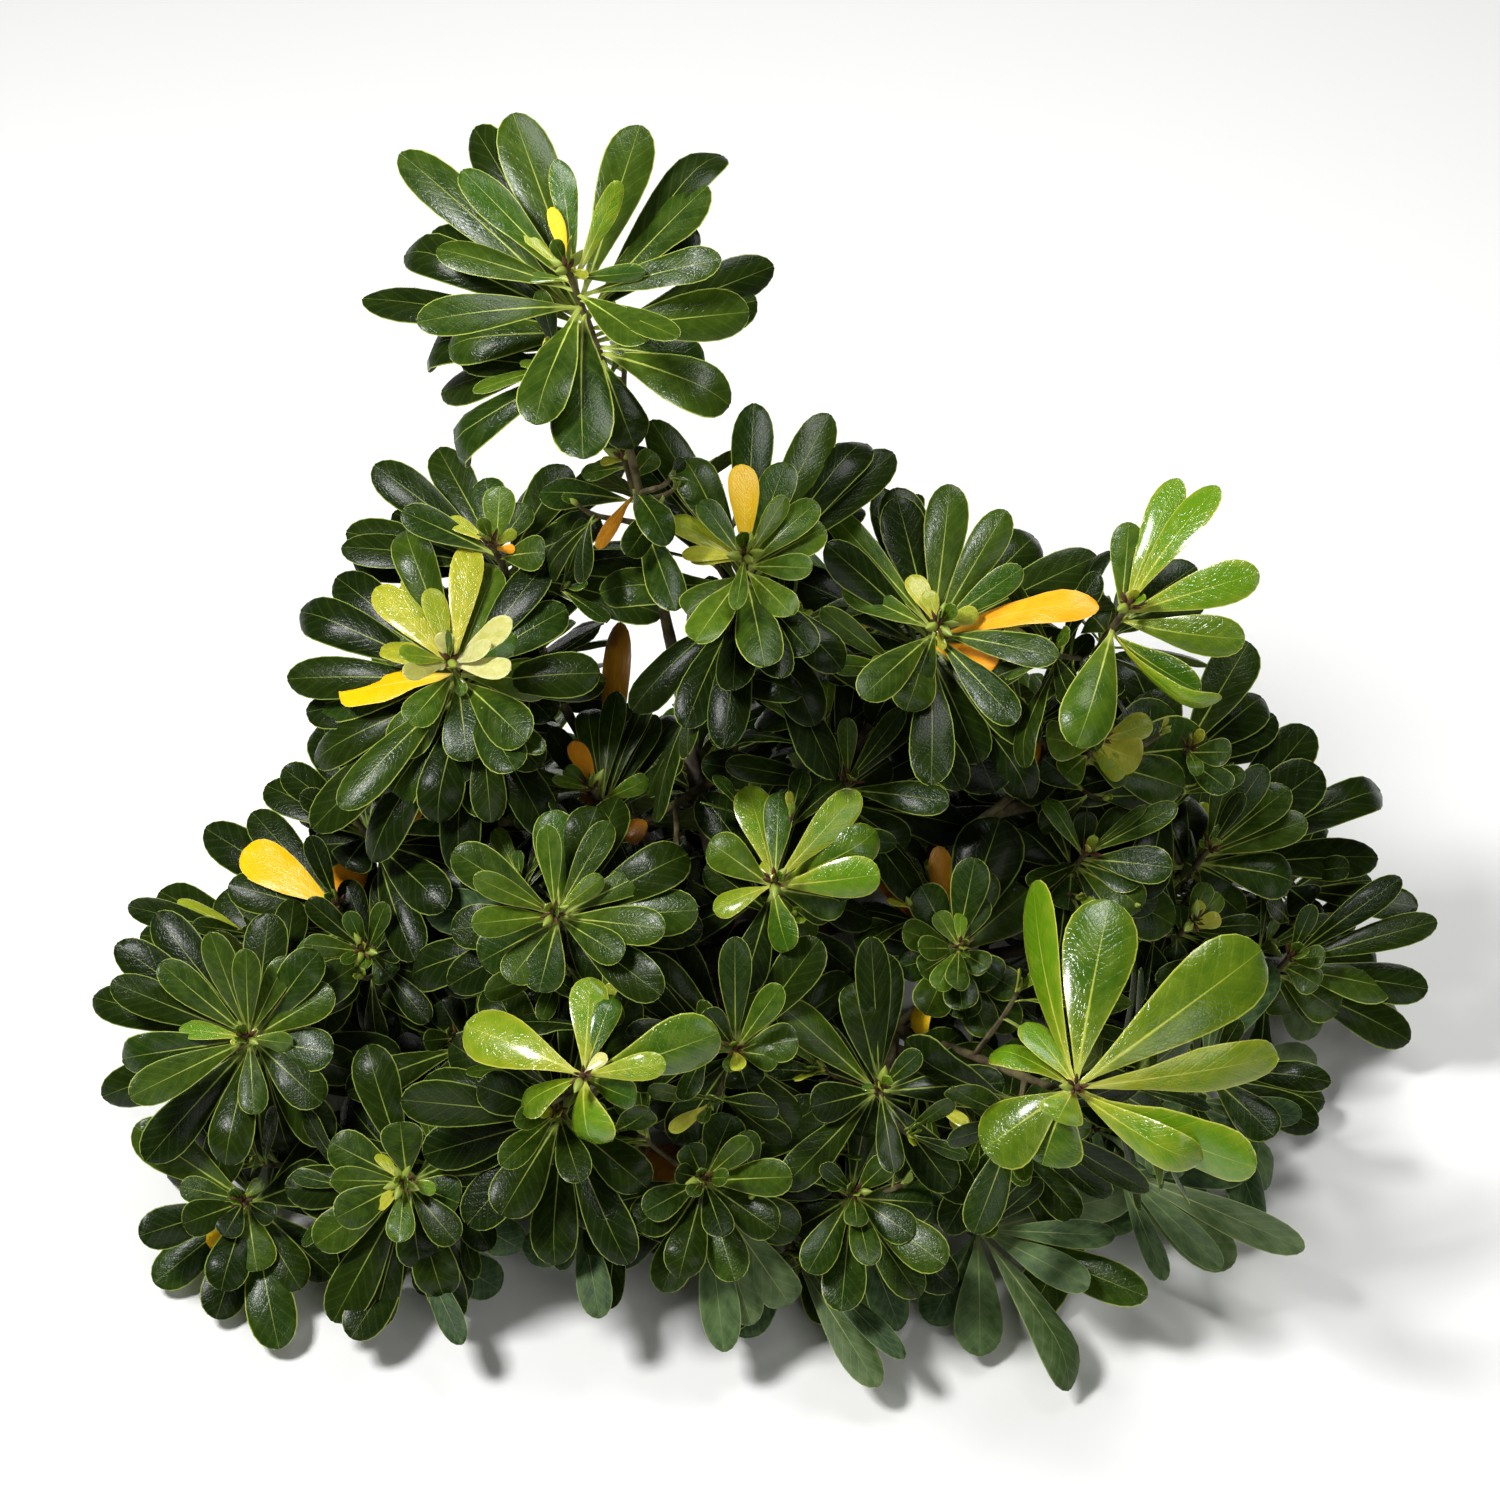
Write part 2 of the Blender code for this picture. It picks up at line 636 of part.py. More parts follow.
def build():
    """Clears the scene, then makes the trunk, the boughs and the masses of foliage."""
    for old in list(bpy.data.objects):
        bpy.data.objects.remove(old)

    trunk = make_limb("trunk", trunk_shell(0.0))
    cutter = new_object("trunk_clearance", *trunk_shell(CLEARANCE))
    cutter.hide_render = True
    cutter.display_type = "WIRE"
    boughs = [make_bough(mass, cutter) for mass in MASSES]
    bpy.context.view_layer.update()
    limbs = [Solid(shell_of(limb)) for limb in [trunk, *boughs]]

    wood = {mass.name: twig_shells(mass) for mass in MASSES}
    leaves = deal_leaves(limbs, wood)
    for mass in MASSES:
        name = "foliage_" + mass.name
        green = new_material(name, TONES[mass.tone], LEAF_ROUGHNESS)
        fuse(name, wood[mass.name] + leaves[mass.name], green)
        print(name, "has", len(leaves[mass.name]), "leaves")


build()
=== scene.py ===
"""The looks of the pittosporum shrub: bark, twigs, buds and waxy leaves.

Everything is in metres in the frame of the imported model: +Z up, +X to the right and -Y
towards the side that the photograph shows. The shoots stand where the source puts them.
Their foliage grows by the source's rule, carried on to finer twigs and to the number of
leaves that the real shrub has, and stays open where the photograph shows sky.
"""

import logging
import math
import random
from collections.abc import Iterator
from dataclasses import dataclass, field
from enum import Enum
from typing import NamedTuple

import bpy
import numpy as np
from mathutils.bvhtree import BVHTree
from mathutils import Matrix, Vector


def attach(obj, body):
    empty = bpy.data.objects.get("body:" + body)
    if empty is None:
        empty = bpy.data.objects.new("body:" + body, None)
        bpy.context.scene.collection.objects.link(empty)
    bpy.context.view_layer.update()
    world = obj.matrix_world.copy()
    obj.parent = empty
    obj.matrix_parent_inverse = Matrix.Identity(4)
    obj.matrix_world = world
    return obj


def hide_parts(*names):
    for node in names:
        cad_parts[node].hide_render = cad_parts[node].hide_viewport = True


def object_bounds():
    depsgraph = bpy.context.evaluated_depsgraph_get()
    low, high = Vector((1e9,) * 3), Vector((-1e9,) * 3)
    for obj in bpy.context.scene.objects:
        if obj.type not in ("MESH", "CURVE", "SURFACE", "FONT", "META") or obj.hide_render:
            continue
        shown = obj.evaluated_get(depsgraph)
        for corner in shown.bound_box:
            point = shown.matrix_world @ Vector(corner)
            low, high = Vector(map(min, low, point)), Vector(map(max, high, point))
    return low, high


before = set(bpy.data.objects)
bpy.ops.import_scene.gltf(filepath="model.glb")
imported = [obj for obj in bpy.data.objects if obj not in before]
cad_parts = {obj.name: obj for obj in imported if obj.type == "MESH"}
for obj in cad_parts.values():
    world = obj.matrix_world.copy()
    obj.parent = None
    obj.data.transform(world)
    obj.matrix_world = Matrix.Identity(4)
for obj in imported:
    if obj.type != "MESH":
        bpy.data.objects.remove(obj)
cad_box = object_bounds()
log = logging.getLogger("pittosporum")

UP = np.array((0.0, 0.0, 1.0))
GROUND = 0.004

# Farther from the camera than anything in the picture, in metres
FAR = 9.0

# The angles in degrees past which an edge is shaded sharp
BARK_EDGE, TWIG_EDGE, BUD_EDGE, LEAF_EDGE = 50.0, 55.0, 50.0, 60.0


class Tone(Enum):
    """The leaves' colours: greens from the deepest up, old yellows and browns, dusty greens. The deepest
    green is painted shade, darker than an old leaf's own green, for the shaded inside of the crown.
    """

    # The deepest green: an old leaf's dark green darkened further as painted shade of the crown's inside
    DEEP = "deep"
    DARK = "dark"
    GREEN = "green"
    LIGHT = "light"
    FRESH = "fresh"
    BRIGHT = "bright"
    LIME = "lime"
    CREAM = "cream"
    GOLD = "gold"
    ORANGE = "orange"
    RUST = "rust"
    DUSTY = "dusty"
    CHALKY = "chalky"


DEEP, DARK, GREEN, LIGHT, FRESH, BRIGHT, LIME, CREAM, GOLD, ORANGE, RUST, DUSTY, CHALKY = Tone


def unit(vectors: np.ndarray) -> np.ndarray:
    """Vectors of length one along the last axis."""
    return vectors / np.maximum(np.linalg.norm(vectors, axis=-1, keepdims=True), 1e-12)


def blended(first: float, last: float, share: float) -> float:
    """The number or vector at this share of the way from first to last."""
    return first + (last - first) * share


def eased(share: np.ndarray) -> np.ndarray:
    """An S-shaped rise from 0 to 1: three times the square less twice the cube."""
    held = np.clip(share, 0.0, 1.0)
    return held * held * (3.0 - 2.0 * held)


@dataclass(frozen=True)
class Sight:
    """The photograph's sight lines: where the camera stands and what each pixel looks at."""

    pixels: float = 1500.0
    span: float = 0.84
    distance: float = 2.3
    down: float = math.radians(45)
    aim: tuple[float, float, float] = (0.0, 0.0, 0.264)
    sensor: float = 36.0

    def ways(self) -> tuple[np.ndarray, np.ndarray, np.ndarray]:
        """The directions to the right, up the picture and into it.

        Returns:
            Three directions, each square to the others.
        """
        right = np.array((1.0, 0.0, 0.0))
        upward = np.array((0.0, math.sin(self.down), math.cos(self.down)))
        forward = np.array((0.0, math.cos(self.down), -math.sin(self.down)))
        return right, upward, forward

    def eye(self) -> np.ndarray:
        """The point that the camera looks from."""
        return np.array(self.aim) - self.ways()[2] * self.distance

    def line(self, seen: tuple[float, float]) -> np.ndarray:
        """The direction from the eye through a pixel of the photograph.

        Args:
            seen: the pixel, across and down.

        Returns:
            A direction of length one.
        """
        right, upward, forward = self.ways()
        across = (seen[0] / self.pixels - 0.5) * self.span / self.distance
        above = (0.5 - seen[1] / self.pixels) * self.span / self.distance
        return unit(forward + right * across + upward * above)

    def point(self, seen: tuple[float, float], height: float) -> np.ndarray:
        """The point at a height above the ground that is seen at a pixel."""
        line = self.line(seen)
        return self.eye() + line * ((height - self.eye()[2]) / line[2])

    def pixel(self, points: np.ndarray) -> np.ndarray:
        """The pixels at which points are seen, as an array with a last axis of two.

        Args:
            points: an array with a last axis of three.

        Returns:
            The pixels, across and down.
        """
        right, upward, forward = self.ways()
        away = points - self.eye()
        depth = away @ forward
        scale = self.distance * self.pixels / self.span
        return np.stack(
            (
                self.pixels / 2 + away @ right / depth * scale,
                self.pixels / 2 - away @ upward / depth * scale,
            ),
            axis=-1,
        )


SIGHT = Sight()
KEY = np.array((-1.1, -0.35, 1.95))


class Tip(NamedTuple):
    """The end of a leaf as the photograph shows it.

    It has its pixel and colour, how far its end curls down in radians, its width compared
    with its neighbours, and how far it is turned about its own length, in radians.
    """

    x: float
    y: float
    tone: Tone
    curl: float = 0.0
    wide: float = 1.0
    roll: float = 0.0


@dataclass(frozen=True)
class Shoot:
    """A rosette, placed as in the source, with the leaves that the photograph shows on it.

    Its tip is seen at a pixel at a height above the ground, or stands at a place in metres
    on the far side. Facing is how far its axis turns towards the viewer. Leaf is the length
    of a grown leaf, whorl the length of straight twig under the tip, oldest how far in
    degrees the lowest leaf opens, and wide the width of a grown leaf.
    Drawn lists the leaves that show, the youngest first, whose age is youngest, and more is
    the number that the rule adds round and under them. The leaves of a star spring from
    nearly one place and all lie open, and none is added in front of a clear shoot.
    """

    seen: tuple[float, float] | None = None
    height: float = 0.0
    place: tuple[float, float, float] | None = None
    leaf: float = 0.082
    facing: float = 0.50
    whorl: float = 0.034
    oldest: float = 104.0
    wide: float = 0.026
    buds: int = 0
    more: int = 24
    youngest: float = 0.0
    star: bool = False
    clear: bool = False
    drawn: tuple[Tip, ...] = ()

    def tip(self) -> np.ndarray:
        """The point where the shoot ends."""
        if self.place:
            return np.array(self.place)
        return SIGHT.point(self.seen, self.height)

    def axis(self) -> np.ndarray:
        """Upright, leaning outwards from the trunk, and turned towards the viewer where seen.

        Returns:
            The direction in which the shoot grows.
        """
        tip = self.tip()
        outward = unit(np.array((tip[0], tip[1], 0.0)))
        grown = unit(UP + outward * 0.40)
        return unit(blended(grown, -SIGHT.ways()[2], self.facing if self.seen else 0.0))


@dataclass(frozen=True)
class Mass:
    """A mass of foliage on one bough, which leaves the trunk at the height of its socket."""

    name: str
    socket: float
    slot: str
    shoots: tuple[Shoot, ...]
    dusty: bool = False


MASSES = (
    Mass("leader", 0.118, "leaf_dark", (
        Shoot((566, 264), 0.555, wide=0.027, leaf=0.112, facing=0.30, whorl=0.060, oldest=118, buds=4,
              more=5, drawn=(
            Tip(588, 276, LIME, 0, 0.6), Tip(552, 207, GOLD, 0, 0.7), Tip(522, 230, LIME, 0, 0.6),
            Tip(645, 272, FRESH, 0, 0.8), Tip(518, 276, FRESH, 0, 0.5), Tip(620, 181, BRIGHT, 0, 0.8),
            Tip(559, 159, FRESH, 0, 0.9), Tip(462, 170, LIGHT, 0, 1.1), Tip(437, 248, GREEN),
            Tip(646, 341, GREEN, 0, 1.15), Tip(721, 259, GREEN), Tip(678, 337, GREEN, 0, 0.8),
            Tip(640, 125, GREEN, 0, 1.2, 0.4), Tip(535, 424, GREEN, 0.4, 1.3), Tip(417, 322, GREEN),
            Tip(513, 113, GREEN, 0, 1.3), Tip(583, 458, GREEN, 0, 1.2),
            Tip(707, 186, GREEN, 0, 0.9), Tip(694, 226, DARK), Tip(722, 155, DARK), Tip(431, 234, DARK),
            Tip(400, 153, GREEN), Tip(749, 312, GREEN, 0, 1, 0.4), Tip(405, 254, DARK), Tip(448, 348, GREEN),
            Tip(774, 266, DARK, 0, 1, 0.5), Tip(474, 128, DARK), Tip(757, 300, DARK, 0, 1, 0.4),
            Tip(363, 298, DARK, 0, 0.8), Tip(705, 371, GREEN, 0.5),
            Tip(438, 362, DARK, 1.1), Tip(730, 405, GREEN, 0.7, 1.3), Tip(441, 392, DARK),
            Tip(635, 448, DARK, 1.3), Tip(470, 456, GREEN, 1.4))),
        Shoot((622, 452), 0.415, wide=0.020, leaf=0.080, facing=0.20, buds=2, more=5, drawn=(
            Tip(600, 462, LIME), Tip(582, 474, LIGHT), Tip(622, 416, GREEN), Tip(655, 452, GREEN),
            Tip(668, 545, GREEN), Tip(598, 548, RUST, 0, 0.5), Tip(540, 492, GREEN), Tip(676, 610, GREEN))),
    )),
    Mass("back_left", 0.080, "leaf_dark", (
        Shoot((490, 540), 0.350, wide=0.025, leaf=0.096, facing=0.45, buds=1, more=21, drawn=(
            Tip(448, 518, LIME), Tip(516, 531, LIME), Tip(515, 549, ORANGE), Tip(528, 505, GREEN),
            Tip(500, 486, LIGHT), Tip(402, 511, GREEN), Tip(545, 552, GREEN), Tip(485, 478, GREEN),
            Tip(374, 465, DARK), Tip(438, 448, DARK), Tip(584, 533, DARK), Tip(566, 465, DARK),
            Tip(346, 532, DARK), Tip(600, 518, DARK), Tip(352, 560, DEEP), Tip(560, 500, DEEP))),
        Shoot(place=(-0.155, 0.108, 0.232), buds=1, more=34),
    )),
    Mass("left_crown", 0.100, "leaf_middling", (
        Shoot((447, 658), 0.312, wide=0.026, leaf=0.102, facing=0.40, buds=3, more=16, drawn=(
            Tip(437, 668, CREAM), Tip(443, 632, CREAM), Tip(404, 674, CREAM), Tip(490, 646, CREAM),
            Tip(430, 588, LIME, 0, 1, -0.2), Tip(510, 669, CREAM), Tip(512, 621, CREAM), Tip(463, 695, FRESH),
            Tip(381, 648, LIME), Tip(471, 543, LIME, 0, 1, -0.4), Tip(375, 588, LIME, 0, 1, -0.15),
            Tip(409, 573, LIME), Tip(515, 634, FRESH), Tip(409, 723, LIGHT), Tip(496, 568, LIGHT),
            Tip(346, 600, LIGHT), Tip(339, 695, GOLD, 0, 1.15), Tip(552, 682, LIGHT), Tip(468, 761, GREEN),
            Tip(567, 609, GREEN), Tip(393, 753, GREEN), Tip(315, 706, GREEN), Tip(526, 741, GREEN),
            Tip(406, 530, GREEN), Tip(547, 562, DARK), Tip(300, 612, DARK), Tip(336, 577, DARK),
            Tip(287, 679, DARK), Tip(515, 770, GREEN), Tip(339, 807, GREEN), Tip(582, 574, DARK),
            Tip(600, 673, DARK), Tip(306, 712, DARK), Tip(456, 783, DARK), Tip(540, 767, DARK),
            Tip(314, 762, DARK), Tip(312, 829, DARK), Tip(438, 823, DARK, 0.8), Tip(485, 817, DARK),
            Tip(371, 861, DARK), Tip(387, 811, GREEN, 0.8))),
        Shoot((352, 815), 0.215, wide=0.026, leaf=0.084, facing=0.35, more=23, drawn=(
            Tip(300, 795, DARK), Tip(283, 768, DARK), Tip(345, 868, DEEP), Tip(312, 845, DEEP))),
    )),
    Mass("centre_crown", 0.148, "leaf_middling", (
        Shoot((745, 552), 0.388, wide=0.024, leaf=0.106, buds=5, more=16, drawn=(
            Tip(736, 609, LIGHT), Tip(682, 553, LIME), Tip(690, 557, LIME), Tip(786, 496, FRESH),
            Tip(701, 500, LIGHT), Tip(669, 518, LIME), Tip(742, 464, GOLD), Tip(812, 568, LIGHT),
            Tip(817, 502, LIGHT), Tip(792, 615, LIGHT), Tip(825, 527, LIGHT), Tip(695, 641, LIGHT),
            Tip(786, 462, LIGHT), Tip(686, 612, GREEN), Tip(765, 666, GREEN), Tip(683, 458, GREEN),
            Tip(754, 403, GREEN), Tip(830, 414, GREEN), Tip(811, 653, DARK), Tip(894, 453, DARK),
            Tip(651, 420, DARK), Tip(733, 690, DEEP, 0, 1, 0.4), Tip(600, 593, GREEN, 0.7),
            Tip(842, 670, DARK, 0.9), Tip(865, 443, DARK), Tip(626, 446, DARK), Tip(723, 748, DEEP),
            Tip(815, 726, DEEP))),
        Shoot((590, 785), 0.235, wide=0.016, leaf=0.074, facing=0.20, buds=1, more=21, drawn=(
            Tip(553, 779, LIGHT), Tip(566, 767, LIGHT), Tip(591, 788, GREEN), Tip(573, 741, ORANGE),
            Tip(648, 778, FRESH, 0.6), Tip(617, 691, GREEN), Tip(590, 709, GREEN, 0.8), Tip(576, 805, RUST),
            Tip(657, 715, DARK), Tip(682, 759, DARK), Tip(682, 718, DARK), Tip(645, 835, RUST),
            Tip(619, 622, RUST, 0, 1.2))),
        Shoot((850, 778), 0.255, wide=0.022, leaf=0.078, facing=0.45, more=23, drawn=(
            Tip(847, 718, GREEN), Tip(903, 709, GREEN), Tip(726, 764, DARK), Tip(949, 802, GREEN),
            Tip(815, 735, DEEP), Tip(890, 760, DARK), Tip(770, 800, DARK), Tip(905, 850, DARK),
            # The widened deepest leaf that ends this shoot is painted shade, darkening the shaded hollow to
            # the right
            Tip(972, 828, DEEP, 0, 1.4))),
    )),
    Mass("right_crown", 0.122, "leaf_middling", (
        Shoot((940, 622), 0.342, wide=0.026, leaf=0.098, facing=0.55, buds=4, more=18, drawn=(
            Tip(927, 590, LIME), Tip(978, 612, LIME), Tip(911, 575, LIME), Tip(943, 650, LIME),
            Tip(1022, 568, LIGHT), Tip(916, 683, GREEN), Tip(843, 587, LIGHT), Tip(827, 509, LIGHT),
            Tip(1058, 657, GREEN), Tip(1016, 722, GREEN), Tip(862, 697, GREEN), Tip(1006, 510, GREEN),
            Tip(950, 484, GREEN), Tip(897, 497, DARK), Tip(1097, 556, DARK), Tip(826, 544, DARK),
            Tip(1099, 607, ORANGE, 0, 0.8, -0.95), Tip(906, 711, GREEN, 0.9), Tip(1079, 650, DARK),
            Tip(1038, 742, DARK), Tip(997, 664, ORANGE, 0, 0.8, -0.95), Tip(1035, 537, DARK),
            # The widened deepest leaf in this row is painted shade, darkening the shaded hollow below the
            # crown
            Tip(979, 763, DARK), Tip(995, 792, DEEP, 0, 1.4), Tip(883, 488, DARK), Tip(1029, 799, DARK),
            Tip(971, 787, DARK, 1.0), Tip(842, 655, DARK))),
    )),
    Mass("right_sprig", 0.100, "leaf_bright", (
        Shoot((1130, 603), 0.372, wide=0.022, leaf=0.086, facing=0.45, buds=1, more=0, youngest=0.35, drawn=(
            Tip(1132, 592, CREAM, 0, 0.4), Tip(1218, 486, BRIGHT, 0, 1.1, -0.7),
            Tip(1178, 478, BRIGHT, 0, 1, -0.45), Tip(1259, 573, BRIGHT, 0, 1.1, -0.3),
            Tip(1129, 522, LIGHT, 0, 0.8), Tip(1245, 639, FRESH), Tip(1205, 598, GREEN),
            Tip(1196, 566, GREEN), Tip(1076, 747, LIGHT, 0, 1.3), Tip(1222, 698, BRIGHT, 0, 0.6, 0.5),
            Tip(1200, 692, FRESH), Tip(1091, 616, GREEN))),
        Shoot((1102, 735), 0.262, wide=0.026, leaf=0.054, facing=0.40, more=4, youngest=0.45,
              clear=True, drawn=(
            Tip(1152, 722, LIME, 0, 0.8), Tip(1141, 761, LIME),
            Tip(1117, 766, BRIGHT, 0, 0.7), Tip(1047, 738, LIGHT, 0, 0.9),
            Tip(1126, 774, LIME, 0, 0.5), Tip(1064, 776, LIGHT, 0, 0.7),
            Tip(1132, 779, GREEN, 0, 0.8), Tip(1184, 788, GREEN, 0, 1.2), Tip(1211, 748, GREEN, 0, 1.6),
            Tip(1176, 716, GREEN, 0, 1.3))),
        Shoot((1088, 850), 0.200, wide=0.024, leaf=0.074, facing=0.40, more=23, clear=True, drawn=(
            Tip(1146, 806, GREEN, 0, 0.7), Tip(1177, 806, GREEN, 0, 1.2), Tip(1044, 800, LIGHT, 1.0),
            Tip(1086, 812, DARK), Tip(1172, 868, GREEN, 0, 1.3), Tip(1128, 812, GREEN, 0.7),
            Tip(1140, 884, GREEN), Tip(1061, 871, DARK, 0, 0.5), Tip(1028, 884, DARK, 0, 0.6),
            Tip(1141, 910, GREEN), Tip(1118, 903, DARK), Tip(1155, 838, DEEP, 0, 1.3), Tip(1068, 910, GREEN),
            # The widened deepest leaves from here on are dark sheets of painted shade: they fill the shaded
            # hollow and hide the lit bough behind it
            Tip(1174, 925, GREEN, 0, 1.3), Tip(1020, 830, DEEP, 0, 1.3), Tip(990, 845, DEEP, 0, 1.3),
            Tip(1000, 810, DEEP, 0, 1.3), Tip(1050, 840, DEEP, 0, 1.3))),
        Shoot((1190, 745), 0.232, wide=0.026, leaf=0.084, facing=0.40, more=21, clear=True, drawn=(
            Tip(1197, 776, LIGHT, 0.9, 0.8), Tip(1231, 752, GREEN, 0, 1.2), Tip(1229, 790, GREEN),
            Tip(1150, 748, DARK), Tip(1249, 642, DARK, 0, 1.2), Tip(1150, 690, DARK, 0, 1.2),
            Tip(1196, 724, DARK), Tip(1262, 697, DARK, 0, 1.1), Tip(1275, 715, DARK, 0, 1.1))),
    )),
    Mass("right_dark", 0.062, "leaf_dark", (
        Shoot((1212, 845), 0.165, wide=0.026, leaf=0.100, facing=0.40, more=21, clear=True, drawn=(
            Tip(1200, 842, LIGHT, 0, 0.6), Tip(1243, 793, DARK, 0, 0.8), Tip(1229, 772, GREEN),
            Tip(1265, 766, GREEN, 0, 1.1), Tip(1289, 788, GREEN, 0, 1.1), Tip(1307, 820, GREEN, 0, 1.1),
            Tip(1321, 769, DARK, 0, 1.3), Tip(1311, 728, DARK, 0, 1.3), Tip(1293, 882, GREEN, 0.7, 1.1),
            Tip(1232, 884, DARK, 0, 1.5), Tip(1185, 862, DARK), Tip(1381, 792, DARK), Tip(1378, 857, DARK),
            Tip(1243, 915, GREEN), Tip(1185, 795, DEEP))),
        Shoot((1195, 920), 0.145, wide=0.014, leaf=0.058, facing=0.60, buds=2, more=16, drawn=(
            Tip(1193, 924, LIME), Tip(1202, 901, LIME), Tip(1221, 918, LIME), Tip(1208, 883, LIGHT),
            Tip(1222, 895, LIGHT), Tip(1180, 905, LIGHT), Tip(1170, 935, GREEN), Tip(1175, 960, GREEN))),
        Shoot((1292, 955), 0.100, wide=0.026, leaf=0.096, facing=0.45, more=23, clear=True, drawn=(
            Tip(1313, 905, GREEN), Tip(1325, 956, GREEN), Tip(1401, 878, DARK), Tip(1437, 921, DARK),
            Tip(1319, 986, GREEN), Tip(1393, 989, GREEN), Tip(1428, 989, DARK), Tip(1373, 947, DARK),
            Tip(1338, 1012, GREEN), Tip(1291, 1012, GREEN), Tip(1410, 1041, DARK), Tip(1316, 1036, CHALKY))),
        Shoot((1300, 870), 0.120, wide=0.025, leaf=0.080, facing=0.40, more=18, clear=True, drawn=(
            Tip(1350, 868, DARK, 0.8), Tip(1310, 905, DARK), Tip(1372, 880, DARK))),
    )),
    Mass("right_low", 0.046, "leaf_dusty", (
        Shoot((1218, 1060), 0.090, wide=0.024, leaf=0.088, facing=0.40, more=26, drawn=(
            Tip(1240, 1020, DARK), Tip(1331, 1082, DARK, 0.5), Tip(1274, 1136, GREEN), Tip(1318, 1127, DARK),
            Tip(1325, 1100, DARK))),
        Shoot((1118, 1160), 0.065, wide=0.028, leaf=0.100, facing=0.40, more=8, drawn=(
            Tip(1165, 1280, DUSTY), Tip(1221, 1268, DUSTY), Tip(1304, 1249, CHALKY), Tip(1233, 1265, CHALKY),
            Tip(1115, 1236, DUSTY), Tip(1171, 1212, DUSTY), Tip(1205, 1195, DUSTY))),
    ), dusty=True),
    Mass("front_right", 0.085, "leaf_bright", (
        Shoot((1077, 1087), 0.215, wide=0.036, leaf=0.112, facing=0.75, buds=1, more=0, youngest=0.4,
              star=True, drawn=(
            Tip(1026, 1022, BRIGHT, 0, 0.6, 0.6), Tip(1033, 882, BRIGHT, 0, 0.95, -0.6),
            Tip(1057, 1122, BRIGHT, 0.3, 0.75, -0.2), Tip(1110, 900, FRESH, 0, 1.05, 0.25),
            Tip(1262, 950, FRESH, 0, 1.25, 0.45), Tip(1278, 1055, BRIGHT, 0.2, 0.75, 0.6),
            Tip(990, 1055, BRIGHT, 0.6, 0.6, 0.7), Tip(1202, 1160, BRIGHT, 0.9, 0.66, 0.4),
            Tip(1256, 1168, BRIGHT, 0, 0.95, 0.65), Tip(983, 1150, FRESH, 0, 1.1, -0.2),
            Tip(1042, 1165, FRESH, 0, 1.1, -0.1))),
        Shoot((962, 945), 0.195, wide=0.022, leaf=0.060, facing=0.60, oldest=88, more=12, clear=True, drawn=(
            Tip(967, 957, LIGHT), Tip(960, 913, BRIGHT), Tip(948, 950, GREEN), Tip(937, 912, LIGHT),
            Tip(957, 989, GREEN), Tip(937, 989, LIGHT), Tip(919, 948, GREEN), Tip(983, 896, GREEN),
            Tip(988, 968, GREEN), Tip(903, 930, GREEN), Tip(962, 1009, GREEN), Tip(921, 973, GREEN),
            Tip(975, 858, GREEN), Tip(921, 886, GREEN), Tip(1000, 980, GREEN), Tip(926, 1014, GREEN),
            Tip(990, 872, GREEN), Tip(898, 968, GREEN), Tip(1020, 992, GREEN), Tip(988, 1036, GREEN),
            # The long deepest leaf here is a dark sheet of painted shade over the lit bough behind it
            Tip(1016, 1030, GREEN), Tip(1000, 818, DEEP, 0, 1.7),
            Tip(938, 846, RUST, 0, 0.7), Tip(1029, 890, GREEN, 0, 1.5),
            Tip(921, 1038, GOLD, 0, 0.6), Tip(880, 880, ORANGE, 0, 0.5))),
        Shoot((882, 1087), 0.158, wide=0.024, leaf=0.080, facing=0.60, buds=1, more=18, drawn=(
            Tip(862, 1086, FRESH), Tip(920, 1052, GREEN), Tip(894, 1172, DARK), Tip(871, 937, DARK),
            Tip(852, 983, DARK, 1.0), Tip(811, 1107, DARK), Tip(953, 1190, DARK), Tip(803, 1027, DARK),
            Tip(861, 1136, DARK), Tip(1000, 1062, DARK, 0, 1.3), Tip(960, 1120, DEEP))),
        Shoot((1010, 1130), 0.110, wide=0.022, leaf=0.070, more=21),
    )),
    Mass("centre_front", 0.112, "leaf_bright", (
        Shoot((775, 880), 0.250, wide=0.024, leaf=0.066, facing=0.55, buds=2, more=8, youngest=0.2, drawn=(
            Tip(762, 862, LIME), Tip(779, 792, LIGHT), Tip(858, 791, BRIGHT), Tip(747, 786, BRIGHT),
            Tip(713, 910, BRIGHT), Tip(880, 874, BRIGHT), Tip(788, 951, FRESH), Tip(876, 830, FRESH),
            Tip(709, 842, LIGHT), Tip(847, 901, LIGHT), Tip(804, 798, GREEN), Tip(835, 910, GREEN),
            Tip(808, 948, GREEN))),
        Shoot((735, 1048), 0.180, wide=0.025, leaf=0.078, facing=0.60, more=18, drawn=(
            Tip(729, 1071, LIGHT), Tip(706, 1010, GREEN), Tip(781, 986, LIGHT), Tip(735, 937, GREEN),
            Tip(779, 1057, GREEN), Tip(798, 1039, GREEN), Tip(747, 1089, DARK), Tip(641, 957, DARK),
            Tip(794, 1136, DARK), Tip(674, 1142, DARK), Tip(723, 1083, GREEN), Tip(650, 1125, DARK))),
    )),
    Mass("left_centre", 0.088, "leaf_middling", (
        Shoot((553, 912), 0.235, wide=0.026, leaf=0.082, facing=0.60, buds=2, more=16, drawn=(
            Tip(552, 925, LIME), Tip(603, 877, FRESH), Tip(547, 825, LIGHT), Tip(474, 877, LIGHT),
            Tip(610, 822, GREEN), Tip(472, 924, LIGHT), Tip(669, 861, GREEN), Tip(622, 957, GREEN),
            Tip(665, 929, GREEN), Tip(539, 992, GREEN), Tip(509, 981, GREEN), Tip(453, 851, GREEN),
            Tip(553, 810, LIGHT), Tip(597, 807, DARK), Tip(480, 962, GREEN), Tip(698, 910, GREEN),
